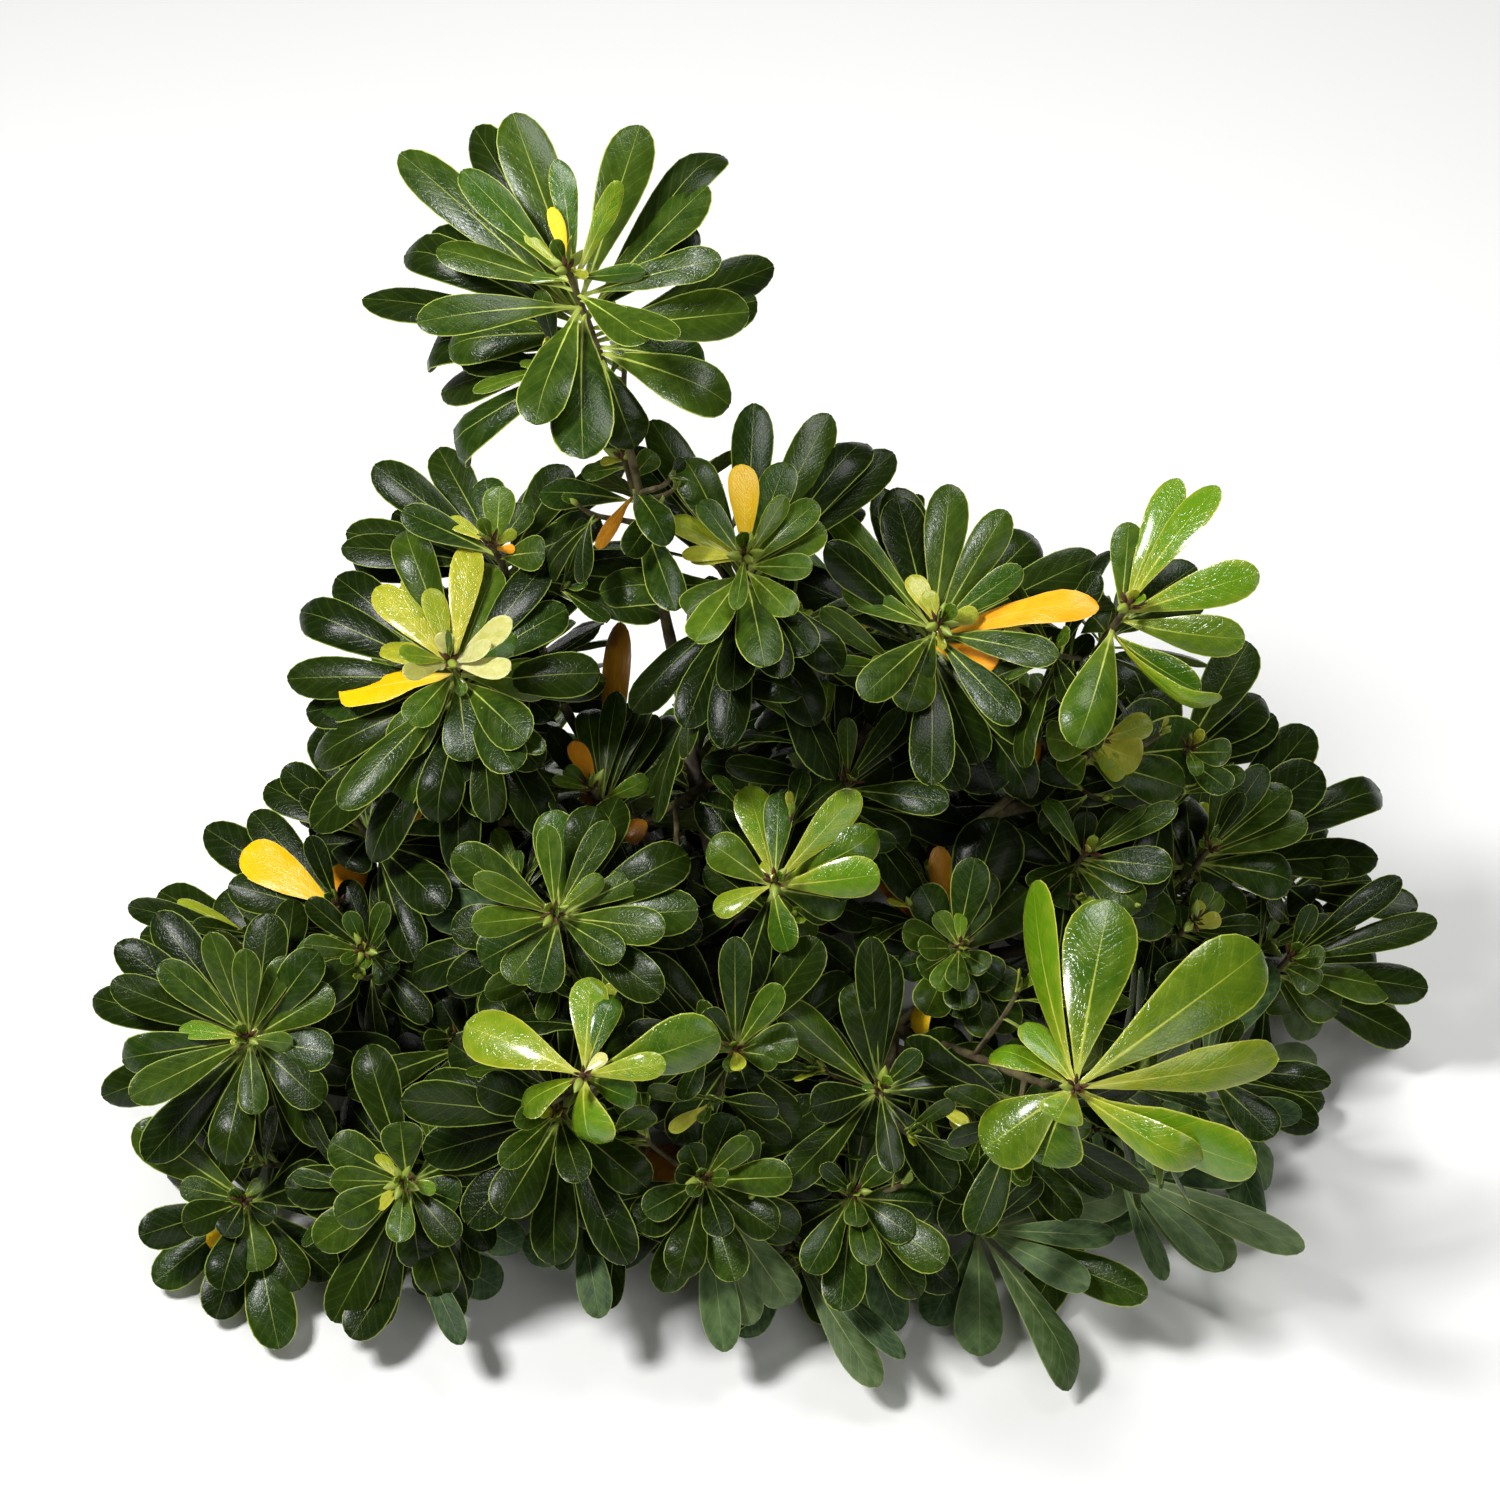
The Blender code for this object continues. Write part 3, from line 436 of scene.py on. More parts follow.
            Tip(688, 854, DARK), Tip(612, 977, DARK), Tip(703, 930, DARK), Tip(448, 986, DARK),
            Tip(618, 798, DARK), Tip(425, 907, DUSTY), Tip(412, 975, DARK))),
        Shoot((362, 948), 0.160, wide=0.017, leaf=0.054, facing=0.70, buds=3, more=10, drawn=(
            Tip(342, 962, LIGHT), Tip(366, 968, LIGHT), Tip(348, 912, LIGHT), Tip(386, 903, GREEN),
            Tip(304, 944, GREEN), Tip(307, 900, DARK), Tip(401, 947, DARK), Tip(392, 979, GREEN),
            Tip(338, 978, GREEN), Tip(345, 880, DEEP), Tip(408, 905, DEEP), Tip(372, 1000, DEEP))),
        Shoot((455, 1035), 0.130, wide=0.023, leaf=0.074, more=21, drawn=(
            Tip(424, 1041, DARK), Tip(481, 1062, DARK), Tip(440, 1000, DEEP), Tip(405, 1000, DEEP))),
    )),
    Mass("left_front", 0.050, "leaf_middling", (
        Shoot((245, 1037), 0.140, wide=0.025, leaf=0.090, facing=0.80, buds=2, more=13, drawn=(
            Tip(238, 1024, LIME), Tip(230, 1042, LIME), Tip(258, 1030, LIME), Tip(179, 1029, BRIGHT),
            Tip(293, 1044, FRESH), Tip(287, 957, GREEN), Tip(246, 949, GREEN), Tip(254, 1114, GREEN),
            Tip(210, 933, GREEN), Tip(160, 963, GREEN), Tip(333, 990, GREEN), Tip(130, 1097, GREEN),
            Tip(322, 1103, DARK), Tip(333, 1053, GREEN), Tip(122, 1059, GREEN), Tip(319, 952, GREEN),
            Tip(225, 1165, DARK), Tip(111, 982, DARK), Tip(269, 913, DARK), Tip(146, 1161, DARK),
            Tip(116, 944, DARK), Tip(328, 1144, DARK), Tip(357, 1073, DARK), Tip(93, 997, DARK),
            Tip(357, 977, DARK), Tip(213, 1188, DARK), Tip(102, 1097, DARK), Tip(290, 1150, DARK))),
        Shoot((240, 1200), 0.065, wide=0.027, leaf=0.086, facing=0.70, more=13, drawn=(
            Tip(262, 1180, FRESH), Tip(227, 1195, FRESH), Tip(180, 1186, GREEN), Tip(224, 1236, DARK),
            Tip(183, 1224, DARK), Tip(274, 1218, DARK), Tip(257, 1271, GREEN), Tip(139, 1236, DARK),
            Tip(221, 1291, DARK), Tip(327, 1175, DARK, 0.5), Tip(301, 1289, DARK), Tip(211, 1249, GOLD),
            Tip(279, 1349, GREEN), Tip(333, 1277, DARK), Tip(154, 1283, GREEN), Tip(216, 1319, DARK))),
    )),
    Mass("left_back", 0.072, "leaf_dark", (
        Shoot((335, 903), 0.155, wide=0.027, leaf=0.078, facing=0.30, more=21, drawn=(
            Tip(310, 836, DARK), Tip(243, 850, GOLD, 0, 1.5, -0.25), Tip(252, 812, DARK),
            Tip(345, 856, ORANGE), Tip(205, 828, DARK), Tip(395, 870, DARK), Tip(290, 905, DARK))),
        Shoot((250, 930), 0.108, wide=0.027, leaf=0.090, facing=0.30, more=21, drawn=(
            Tip(193, 925, DARK), Tip(128, 906, DARK), Tip(178, 900, LIME, 0, 0.5), Tip(225, 890, DARK),
            Tip(262, 905, DARK), Tip(140, 935, DARK))),
    )),
    Mass("bright_front", 0.066, "leaf_bright", (
        Shoot((582, 1075), 0.195, wide=0.030, leaf=0.080, facing=0.70, buds=1, more=0, youngest=0.3,
              star=True, drawn=(
            Tip(606, 1054, CREAM, 0, 0.4), Tip(666, 1063, BRIGHT, 0.3, 0.62, 0.3),
            Tip(590, 977, BRIGHT, 0, 0.72, 0.4), Tip(614, 995, FRESH, 0, 0.5, 0.3),
            Tip(465, 1025, BRIGHT, 0, 1.12), Tip(719, 1033, FRESH, 0, 1.05, 0.7),
            Tip(522, 1113, FRESH, 0, 0.95, 0.7), Tip(598, 1144, BRIGHT, 0, 1.22, 0.5),
            Tip(636, 1100, FRESH, 0, 0.6, 0.5))),
        Shoot((556, 1112), 0.150, wide=0.028, leaf=0.088, facing=0.60, more=21, drawn=(
            Tip(515, 1120, GREEN), Tip(501, 1165, GREEN), Tip(580, 1182, DARK), Tip(478, 1085, DARK),
            Tip(401, 1100, DARK), Tip(501, 1215, DARK), Tip(423, 1155, DARK), Tip(647, 1188, DARK),
            Tip(673, 1097, DARK), Tip(449, 1042, DARK))),
        Shoot((575, 1195), 0.080, wide=0.024, leaf=0.080, facing=0.30, more=16, drawn=(
            Tip(560, 1270, DUSTY), Tip(600, 1318, DUSTY), Tip(608, 1255, DARK, 0.5), Tip(530, 1262, DUSTY),
            Tip(640, 1245, DARK))),
    )),
    Mass("front", 0.046, "leaf_middling", (
        Shoot((703, 1178), 0.120, wide=0.025, leaf=0.078, facing=0.55, buds=1, more=16, drawn=(
            Tip(728, 1177, GREEN), Tip(690, 1195, GREEN), Tip(676, 1172, DARK), Tip(750, 1140, GREEN),
            Tip(688, 1145, GREEN), Tip(723, 1236, DARK), Tip(644, 1212, GREEN), Tip(792, 1177, GREEN),
            Tip(732, 1115, GREEN), Tip(776, 1231, DARK), Tip(635, 1226, DARK), Tip(679, 1278, DARK),
            Tip(735, 1281, GREEN), Tip(798, 1235, GREEN), Tip(662, 1292, GREEN), Tip(724, 1352, DUSTY),
            Tip(752, 1325, CHALKY), Tip(790, 1305, CHALKY), Tip(648, 1152, RUST))),
        Shoot((855, 1192), 0.105, wide=0.024, leaf=0.076, buds=1, more=16, drawn=(
            Tip(822, 1165, GREEN), Tip(857, 1226, GREEN), Tip(890, 1160, GREEN), Tip(870, 1265, GREEN),
            Tip(913, 1236, GREEN), Tip(808, 1272, GREEN), Tip(945, 1265, GREEN), Tip(841, 1311, GREEN),
            Tip(919, 1297, GREEN), Tip(933, 1203, GREEN), Tip(794, 1230, DARK), Tip(986, 1212, DUSTY),
            Tip(900, 1330, DUSTY))),
        Shoot((795, 1250), 0.050, wide=0.027, leaf=0.092, facing=0.40, more=10, drawn=(
            Tip(904, 1358, DUSTY), Tip(878, 1386, CHALKY), Tip(840, 1318, DARK), Tip(735, 1335, DUSTY))),
    )),
    Mass("front_left", 0.036, "leaf_middling", (
        Shoot((402, 1182), 0.110, wide=0.025, leaf=0.080, facing=0.80, buds=5, more=10, drawn=(
            Tip(377, 1154, LIME, 0, 0.8), Tip(378, 1209, LIME, 0, 0.8), Tip(436, 1190, BRIGHT, 0, 0.7),
            Tip(399, 1242, LIGHT), Tip(331, 1180, GREEN), Tip(456, 1242, DARK), Tip(336, 1218, GREEN),
            Tip(400, 1122, GREEN), Tip(330, 1142, GREEN), Tip(459, 1203, GREEN), Tip(421, 1267, DARK),
            Tip(315, 1245, GREEN), Tip(444, 1297, DARK), Tip(333, 1322, DARK), Tip(456, 1322, DARK),
            Tip(374, 1330, DARK), Tip(521, 1249, DUSTY))),
        Shoot((410, 1235), 0.060, wide=0.025, leaf=0.076, more=13, drawn=(
            Tip(462, 1344, DUSTY), Tip(351, 1338, DARK), Tip(500, 1290, DUSTY))),
    )),
    Mass("low_right", 0.026, "leaf_dusty", (
        Shoot((985, 1228), 0.060, wide=0.027, leaf=0.096, facing=0.60, more=8, drawn=(
            Tip(1042, 1180, DARK), Tip(1115, 1236, DUSTY), Tip(1089, 1286, DUSTY), Tip(1147, 1297, GREEN),
            Tip(1070, 1390, CHALKY, 0, 1, -0.4), Tip(980, 1356, DUSTY), Tip(930, 1324, DUSTY),
            Tip(1100, 1215, DUSTY))),
    ), dusty=True),
    Mass("back", 0.094, "leaf_dark", (
        Shoot(place=(0.070, 0.115, 0.262), leaf=0.092, buds=2, more=44),
        Shoot(place=(0.055, 0.185, 0.170), leaf=0.092, buds=1, more=42),
        Shoot(place=(0.125, 0.190, 0.120), leaf=0.086, more=39),
    )),
    Mass("back_right", 0.078, "leaf_dark", (
        Shoot(place=(0.190, 0.090, 0.165), leaf=0.090, more=39),
        Shoot(place=(0.265, 0.080, 0.095), leaf=0.086, buds=1, more=39),
        Shoot(place=(0.190, 0.170, 0.070), leaf=0.084, more=36),
    )),
    Mass("back_left_low", 0.054, "leaf_dark", (
        Shoot(place=(-0.190, 0.085, 0.150), leaf=0.090, buds=1, more=39),
        Shoot(place=(-0.150, 0.160, 0.090), leaf=0.086, more=39),
        Shoot(place=(-0.255, 0.050, 0.070), leaf=0.084, more=36),
    )),
    Mass("back_low", 0.034, "leaf_dark", (
        Shoot(place=(-0.070, 0.185, 0.066), leaf=0.088, buds=1, more=39),
        Shoot(place=(0.055, 0.235, 0.060), leaf=0.086, more=39),
        Shoot(place=(-0.035, 0.130, 0.118), leaf=0.084, more=34),
    )),
)

# Where the photograph shows sky through the crown: middle and radius in pixels
SKY = (
    (607, 592, 13), (640, 520, 12), (655, 640, 16), (590, 660, 10), (640, 680, 12), (588, 628, 12),
    (440, 845, 9), (470, 838, 6), (505, 833, 6), (690, 770, 6), (418, 1024, 6), (497, 1232, 10),
    (548, 1180, 5), (1002, 1196, 10), (1035, 1196, 8), (990, 1225, 5), (872, 865, 5), (890, 1298, 9),
)

# The crown's edge in the photograph, clockwise from its left end. Leaves that the rule adds
# stay within it, so that the leaves that show make the outline.
EDGE = (
    (92, 1000), (125, 905), (200, 825), (240, 808), (285, 755), (285, 660), (302, 602), (345, 520),
    (372, 462), (435, 446), (485, 474), (545, 470), (535, 440), (470, 456), (440, 400), (438, 360),
    (363, 298), (400, 150), (470, 122), (515, 110), (590, 150), (640, 122), (722, 148), (775, 265),
    (755, 312), (705, 370), (735, 405), (700, 430), (650, 435), (740, 410), (757, 402), (825, 412),
    (895, 448), (948, 482), (1005, 508), (1095, 550), (1130, 520), (1175, 476), (1222, 484), (1260, 573),
    (1250, 645), (1225, 700), (1311, 728), (1322, 775), (1381, 790), (1401, 876), (1438, 920), (1430, 990),
    (1410, 1043), (1330, 1080), (1330, 1125), (1265, 1165), (1305, 1250), (1220, 1272), (1148, 1300),
    (1110, 1300), (1070, 1392), (1030, 1330), (980, 1358), (930, 1330), (872, 1390), (800, 1325),
    (730, 1355), (660, 1295), (600, 1320), (520, 1255), (465, 1348), (380, 1330), (333, 1325), (280, 1350),
    (215, 1320), (150, 1285), (137, 1240), (180, 1185), (145, 1165), (105, 1100),
)


def colour(code: str) -> tuple[float, float, float, float]:
    """Turns an sRGB hex code into linear light.

    Args:
        code: the colour as #RRGGBB.

    Returns:
        Red, green, blue and an alpha of one.
    """
    shares = [int(code[place : place + 2], 16) / 255 for place in (1, 3, 5)]
    light = [s / 12.92 if s <= 0.04045 else ((s + 0.055) / 1.055) ** 2.4 for s in shares]
    return (*light, 1.0)


def add_node(
    tree: bpy.types.NodeTree, kind: str, feeds: dict | None = None, **settings: object
) -> bpy.types.Node:
    """Adds one node with its settings and links.

    Args:
        tree: the node tree to add to.
        kind: Blender's name for the node.
        feeds: for each input, the socket that feeds it or the value that it holds.
        settings: the node's own properties.

    Returns:
        The new node.
    """
    node = tree.nodes.new(kind)
    for name, value in settings.items():
        setattr(node, name, value)
    for name, value in (feeds or {}).items():
        if isinstance(value, bpy.types.NodeSocket):
            tree.links.new(value, node.inputs[name])
        else:
            node.inputs[name].default_value = value
    return node


def reckoned(
    tree: bpy.types.NodeTree, operation: str, *terms: object, **settings: object
) -> bpy.types.NodeSocket:
    """The outcome of one sum on sockets or numbers, such as MULTIPLY_ADD of three terms."""
    feeds = dict(enumerate(terms))
    return add_node(tree, "ShaderNodeMath", feeds, operation=operation, **settings).outputs[0]


def ranged(
    tree: bpy.types.NodeTree, value: bpy.types.NodeSocket, source: tuple, target: tuple, **settings: object
) -> bpy.types.NodeSocket:
    """A value carried over from one range to another, and held within it."""
    feeds = {
        "Value": value, "From Min": source[0], "From Max": source[1],
        "To Min": target[0], "To Max": target[1],
    }
    return add_node(tree, "ShaderNodeMapRange", feeds, **settings).outputs[0]


def mixed(
    tree: bpy.types.NodeTree, share: bpy.types.NodeSocket, first: object, second: object
) -> bpy.types.NodeSocket:
    """The colour at this share of the way from the first colour to the second."""
    return add_node(tree, "ShaderNodeMix", {0: share, 6: first, 7: second}, data_type="RGBA").outputs[2]


def new_finish(name: str) -> tuple[bpy.types.Material, bpy.types.NodeTree, bpy.types.Node]:
    """A bare material with its node tree and its Principled shader.

    Args:
        name: the material's name.

    Returns:
        The material, the tree and the shader.
    """
    material = bpy.data.materials.new(name)
    material.use_nodes = True
    shader = material.node_tree.nodes["Principled BSDF"]
    return material, material.node_tree, shader


def per_metre(size: float) -> float:
    """The scale of a texture on Object coordinates whose pattern has this size in metres."""
    return 1.0 / size


@dataclass(frozen=True)
class LeafFinish:
    """A living pittosporum leaf: leathery, under a clear coat of wax.

    To the eye that is a deep colour with a soft shine that the side veins break up, paler
    along the midrib, the stalk and the thickened margin, and matt and pale underneath. The
    blade is mottled towards a second colour, flush, more so at the base and near the edge.
    """

    tone: Tone
    blade: str
    flush: str
    line: str
    under: str
    roughness: tuple[float, float] = (0.20, 0.32)
    coat: float = 0.05
    shine: float = 0.20
    mottling: float = 0.9
    spots: float = 0.0
    index: float = 1.46
    half_width: float = 0.013
    rim: float = 0.10
    rib: tuple[float, float] = (0.0009, 0.00015)
    margin: tuple[float, float] = (0.0001, 0.0007)
    vein_pairs: float = 11.0
    rise: float = 0.0005
    quilt: float = 0.2
    powder: float = 0.03
    fleck: str = "#8A6A1E"
    coat_roughness: float = 0.14
    matt_roughness: float = 0.62

    def blade_pattern(self, tree: bpy.types.NodeTree) -> dict[str, bpy.types.NodeSocket]:
        """Works out where the lines and veins of a blade are, from its own map.

        The distance from the midrib and from the margin are told as shares of 13 mm, half
        the width of a grown leaf. A side vein leaves the midrib at each of 11 places along
        it and slants to the tip. The finest net of veins is half a millimetre wide on the
        real leaf and is drawn at 2 mm, as fine as the render can show.

        Args:
            tree: the material's nodes.

        Returns:
            The sockets of tint, line, vein, net, mottle, edge, base and flecks, from 0 to 1.
        """
        spot = add_node(tree, "ShaderNodeUVMap", uv_map="blade").outputs["UV"]
        place = add_node(tree, "ShaderNodeSeparateXYZ", {0: spot})
        along = place.outputs["Y"]
        broad = add_node(tree, "ShaderNodeAttribute", attribute_name="broad").outputs["Fac"]
        tint = add_node(tree, "ShaderNodeAttribute", attribute_name="tint").outputs["Fac"]
        off = reckoned(tree, "ABSOLUTE", reckoned(tree, "SUBTRACT", place.outputs["X"], 0.5))
        near = reckoned(tree, "MULTIPLY", reckoned(tree, "MULTIPLY", off, 2.0), broad)
        edge = reckoned(tree, "SUBTRACT", broad, near)

        rib_width = ranged(tree, along, (0.0, 0.92), [width / self.half_width for width in self.rib])
        strength = ranged(tree, along, (0.35, 0.95), (1.25, 0.45))
        rib = ranged(tree, near, (0.0, rib_width), (strength, 0.0))
        margin = ranged(tree, edge, [off_edge / self.half_width for off_edge in self.margin], (1.0, 0.0))
        stalk = ranged(tree, along, (0.08, 0.20), (1.0, 0.0))
        line = reckoned(tree, "MAXIMUM", rib, margin)
        line = reckoned(tree, "MAXIMUM", line, stalk, use_clamp=True)

        slant = reckoned(tree, "MULTIPLY", near, -2.2)
        phase = reckoned(tree, "FRACT", reckoned(tree, "MULTIPLY_ADD", along, self.vein_pairs, slant))
        phase = reckoned(tree, "ABSOLUTE", reckoned(tree, "SUBTRACT", phase, 0.5))
        vein = ranged(tree, phase, (0.0, 0.16), (1.0, 0.0), interpolation_type="SMOOTHSTEP")

        shift = add_node(tree, "ShaderNodeCombineXYZ", {"Z": tint}).outputs[0]
        scaled = add_node(
            tree, "ShaderNodeVectorMath", {0: spot, 1: (1.0, 2.8, 1.0), 2: shift}, operation="MULTIPLY_ADD"
        ).outputs[0]
        net = add_node(
            tree, "ShaderNodeTexVoronoi", {"Vector": scaled, "Scale": 13.0}, feature="DISTANCE_TO_EDGE"
        )
        noise = add_node(tree, "ShaderNodeTexNoise", {"Vector": scaled, "Scale": 3.2, "Detail": 3.0})
        flecks = add_node(tree, "ShaderNodeTexVoronoi", {"Vector": scaled, "Scale": 5.0, "Randomness": 1.0})
        return {
            "line": line, "vein": vein, "net": net.outputs["Distance"], "tint": tint,
            "mottle": ranged(tree, noise.outputs["Fac"], (0.34, 0.66), (0.0, 1.0)),
            "edge": ranged(tree, edge, (0.0, 0.30), (1.0, 0.0)),
            "base": ranged(tree, along, (0.12, 0.52), (1.0, 0.0)),
            "flecks": flecks.outputs["Distance"],
        }

    def waxed(self, name: str) -> bpy.types.Material:
        """The upper side.

        Args:
            name: the material's name.

        Returns:
            The material.
        """
        material, tree, shader = new_finish(name)
        found = self.blade_pattern(tree)

        flush = found["tint"]
        for share, name_of in ((1.5, "base"), (self.rim * 2, "edge"), (self.mottling, "mottle")):
            flush = reckoned(tree, "MULTIPLY_ADD", found[name_of], share, flush)
        flush = ranged(tree, flush, (0.4, 2.6), (0.0, 1.0))
        tone = mixed(tree, flush, colour(self.blade), colour(self.flush))
        vein = reckoned(tree, "MULTIPLY", found["vein"], self.powder)
        tone = mixed(tree, reckoned(tree, "MAXIMUM", found["line"], vein), tone, colour(self.line))
        if self.spots:
            fleck = ranged(tree, found["flecks"], (self.spots * 0.6, self.spots), (0.8, 0.0))
            tone = mixed(tree, fleck, tone, colour(self.fleck))

        sunk = reckoned(tree, "MULTIPLY", found["vein"], -self.quilt)
        net = reckoned(tree, "MINIMUM", found["net"], 0.15)
        height = reckoned(tree, "MULTIPLY_ADD", net, 1.4, sunk)
        height = reckoned(tree, "MULTIPLY_ADD", found["mottle"], 0.5, height)
        bump = add_node(tree, "ShaderNodeBump", {"Height": height, "Strength": 0.5, "Distance": self.rise})
        worn = ranged(tree, found["mottle"], (0.0, 1.0), self.roughness)
        tree.links.new(tone, shader.inputs["Base Color"])
        tree.links.new(bump.outputs["Normal"], shader.inputs["Normal"])
        tree.links.new(worn, shader.inputs["Roughness"])
        shader.inputs["IOR"].default_value = self.index
        shader.inputs["Specular IOR Level"].default_value = self.shine
        shader.inputs["Coat Weight"].default_value = self.coat
        shader.inputs["Coat Roughness"].default_value = self.coat_roughness
        return material

    def matt(self, name: str) -> bpy.types.Material:
        """The underside: no wax, with the net of veins standing out a little.

        Args:
            name: the material's name.

        Returns:
            The material.
        """
        material, tree, shader = new_finish(name)
        found = self.blade_pattern(tree)
        vein = reckoned(tree, "MULTIPLY", found["vein"], 0.3)
        line = reckoned(tree, "MAXIMUM", found["line"], vein)
        tone = mixed(tree, line, colour(self.under), colour(self.line))
        bump = add_node(
            tree, "ShaderNodeBump", {"Height": found["vein"], "Strength": 0.4, "Distance": self.rise}
        )
        tree.links.new(tone, shader.inputs["Base Color"])
        tree.links.new(bump.outputs["Normal"], shader.inputs["Normal"])
        shader.inputs["Roughness"].default_value = self.matt_roughness
        shader.inputs["IOR"].default_value = self.index
        shader.inputs["Specular IOR Level"].default_value = self.shine
        return material

    def materials(self) -> list[bpy.types.Material]:
        """The upper side and the underside, in the order of Side."""
        name = "leaf_" + self.tone.value
        return [self.waxed(name + "_wax"), self.matt(name + "_underside")]


DULL = {"roughness": (0.42, 0.58), "coat": 0.0, "mottling": 1.1, "powder": 0.10}
GLOSSY = {
    "roughness": (0.14, 0.26), "coat": 0.35, "shine": 0.40, "rim": 0.35, "quilt": 0.28, "rise": 0.0008,
}
LEAF_FINISHES = (
    # The deepest green is painted shade: darker than a leaf's own colour, for the crown's shaded inside
    LeafFinish(DEEP, "#0E1605", "#1A2607", "#6A7E34", "#3C481E", shine=0.07),
    LeafFinish(DARK, "#152206", "#283808", "#98A84E", "#4A5826", shine=0.10),
    LeafFinish(GREEN, "#21360A", "#465C11", "#B4C05A", "#5C6C2E"),
    LeafFinish(LIGHT, "#314F0D", "#607718", "#C2CC64", "#6E8436"),
    LeafFinish(FRESH, "#34580A", "#6C8212", "#BCC44C", "#78902E", **GLOSSY),
    LeafFinish(BRIGHT, "#5C840E", "#9CA424", "#C8CA54", "#8A9A34", **GLOSSY),
    LeafFinish(LIME, "#8E9C1A", "#C8C038", "#D8D264", "#A0A242", spots=0.12, **GLOSSY),
    LeafFinish(CREAM, "#C6C45E", "#EAE6A8", "#EAE4A0", "#CCC678", **GLOSSY),
    LeafFinish(GOLD, "#FFC40A", "#FFD428", "#FFDC60", "#E8B444"),
    LeafFinish(ORANGE, "#F89A12", "#FFB628", "#F4BC54", "#E09A3C"),
    LeafFinish(RUST, "#8E5A10", "#AC7A18", "#B8823C", "#8A6230"),
    LeafFinish(DUSTY, "#243C1A", "#647C4C", "#8C9A5E", "#5E6C40", **DULL),
    LeafFinish(CHALKY, "#3E5428", "#74865A", "#A0AA70", "#7C8856", **DULL),
)


@dataclass(frozen=True)
class BarkFinish:
    """The bark of trunk, boughs or twigs: dead cork or young skin, dry and uneven.

    To the eye that is a mottle of two close browns with fine cracks and no shine.
    """

    name: str
    pale: str
    dark: str
    mottle: float
    crack: float
    roughness: float = 0.85
    rise: float = 0.0004

    def material(self) -> bpy.types.Material:
        """Two browns mixed by a noise, with cracks from a finer one as relief.

        Returns:
            The material.
        """
        material, tree, shader = new_finish(self.name)
        place = add_node(tree, "ShaderNodeTexCoord").outputs["Object"]
        mottle = add_node(
            tree, "ShaderNodeTexNoise", {"Vector": place, "Scale": per_metre(self.mottle), "Detail": 4.0}
        )
        crack = add_node(
            tree, "ShaderNodeTexVoronoi", {"Vector": place, "Scale": per_metre(self.crack)},
            feature="DISTANCE_TO_EDGE",
        )
        ramp = add_node(tree, "ShaderNodeValToRGB", {"Fac": mottle.outputs["Fac"]})
        ramp.color_ramp.elements[0].position = 0.36
        ramp.color_ramp.elements[0].color = colour(self.dark)
        ramp.color_ramp.elements[1].position = 0.64
        ramp.color_ramp.elements[1].color = colour(self.pale)
        bump = add_node(tree, "ShaderNodeBump", {
            "Height": crack.outputs["Distance"], "Strength": 0.7, "Distance": self.rise,
        })
        tree.links.new(ramp.outputs["Color"], shader.inputs["Base Color"])
        tree.links.new(bump.outputs["Normal"], shader.inputs["Normal"])
        shader.inputs["Roughness"].default_value = self.roughness
        shader.inputs["IOR"].default_value = 1.45
        return material


OLD_BARK = BarkFinish("old_cork_bark", "#6C6153", "#3E352B", mottle=0.009, crack=0.004)
YOUNG_BARK = BarkFinish("young_twig_skin", "#6A6240", "#40341E", mottle=0.006, crack=0.002, rise=0.0002)


@dataclass(frozen=True)
class BudFinish:
    """A bud's scales: thin and green where they live, papery brown where they have dried."""

    name: str
    code: str
    roughness: float

    def material(self) -> bpy.types.Material:
        """One plain colour under a fine grain of 0.8 mm.

        Returns:
            The material.
        """
        material, tree, shader = new_finish(self.name)
        place = add_node(tree, "ShaderNodeTexCoord").outputs["Object"]
        grain = add_node(
            tree, "ShaderNodeTexNoise", {"Vector": place, "Scale": per_metre(0.0008), "Detail": 2.0}
        )
        bump = add_node(
            tree, "ShaderNodeBump", {"Height": grain.outputs["Fac"], "Strength": 0.5, "Distance": 0.0002}
        )
        tree.links.new(bump.outputs["Normal"], shader.inputs["Normal"])
        shader.inputs["Base Color"].default_value = colour(self.code)
        shader.inputs["Roughness"].default_value = self.roughness
        return material


BUD_FINISHES = (BudFinish("green_bud_scale", "#93A43E", 0.40), BudFinish("dry_bud_scale", "#57371C", 0.75))


def make_piece(
    name: str, points: np.ndarray, faces: list[np.ndarray], materials: list[bpy.types.Material],
    edge: float, slots: np.ndarray | int = 0,
) -> bpy.types.Object:
    """A mesh object at the origin from arrays of points and faces.

    Args:
        name: the piece's name.
        points: its points, with a last axis of three.
        faces: arrays of faces, each with the same number of corners in every row.
        materials: the piece's materials.
        edge: the angle in degrees past which an edge is shaded sharp.
        slots: the material slot of every face, in the order of faces, or one for all.

    Returns:
        The new object.
    """
    corners = np.concatenate([rows.ravel() for rows in faces])
    counts = np.concatenate([np.full(len(rows), rows.shape[1]) for rows in faces])
    mesh = bpy.data.meshes.new(name)
    mesh.vertices.add(points.size // 3)
    mesh.vertices.foreach_set("co", points.astype(np.float32).ravel())
    mesh.loops.add(len(corners))
    mesh.loops.foreach_set("vertex_index", corners.astype(np.int32))
    mesh.polygons.add(len(counts))
    mesh.polygons.foreach_set("loop_start", (np.cumsum(counts) - counts).astype(np.int32))
    mesh.polygons.foreach_set("loop_total", counts.astype(np.int32))
    mesh.polygons.foreach_set("material_index", np.broadcast_to(slots, len(counts)).astype(np.int32))
    for material in materials:
        mesh.materials.append(material)
    mesh.update(calc_edges=True)
    mesh.validate()
    mesh.shade_smooth()
    mesh.set_sharp_from_angle(angle=math.radians(edge))
    piece = bpy.data.objects.new(name, mesh)
    bpy.context.scene.collection.objects.link(piece)
    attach(piece, "root")
    return piece


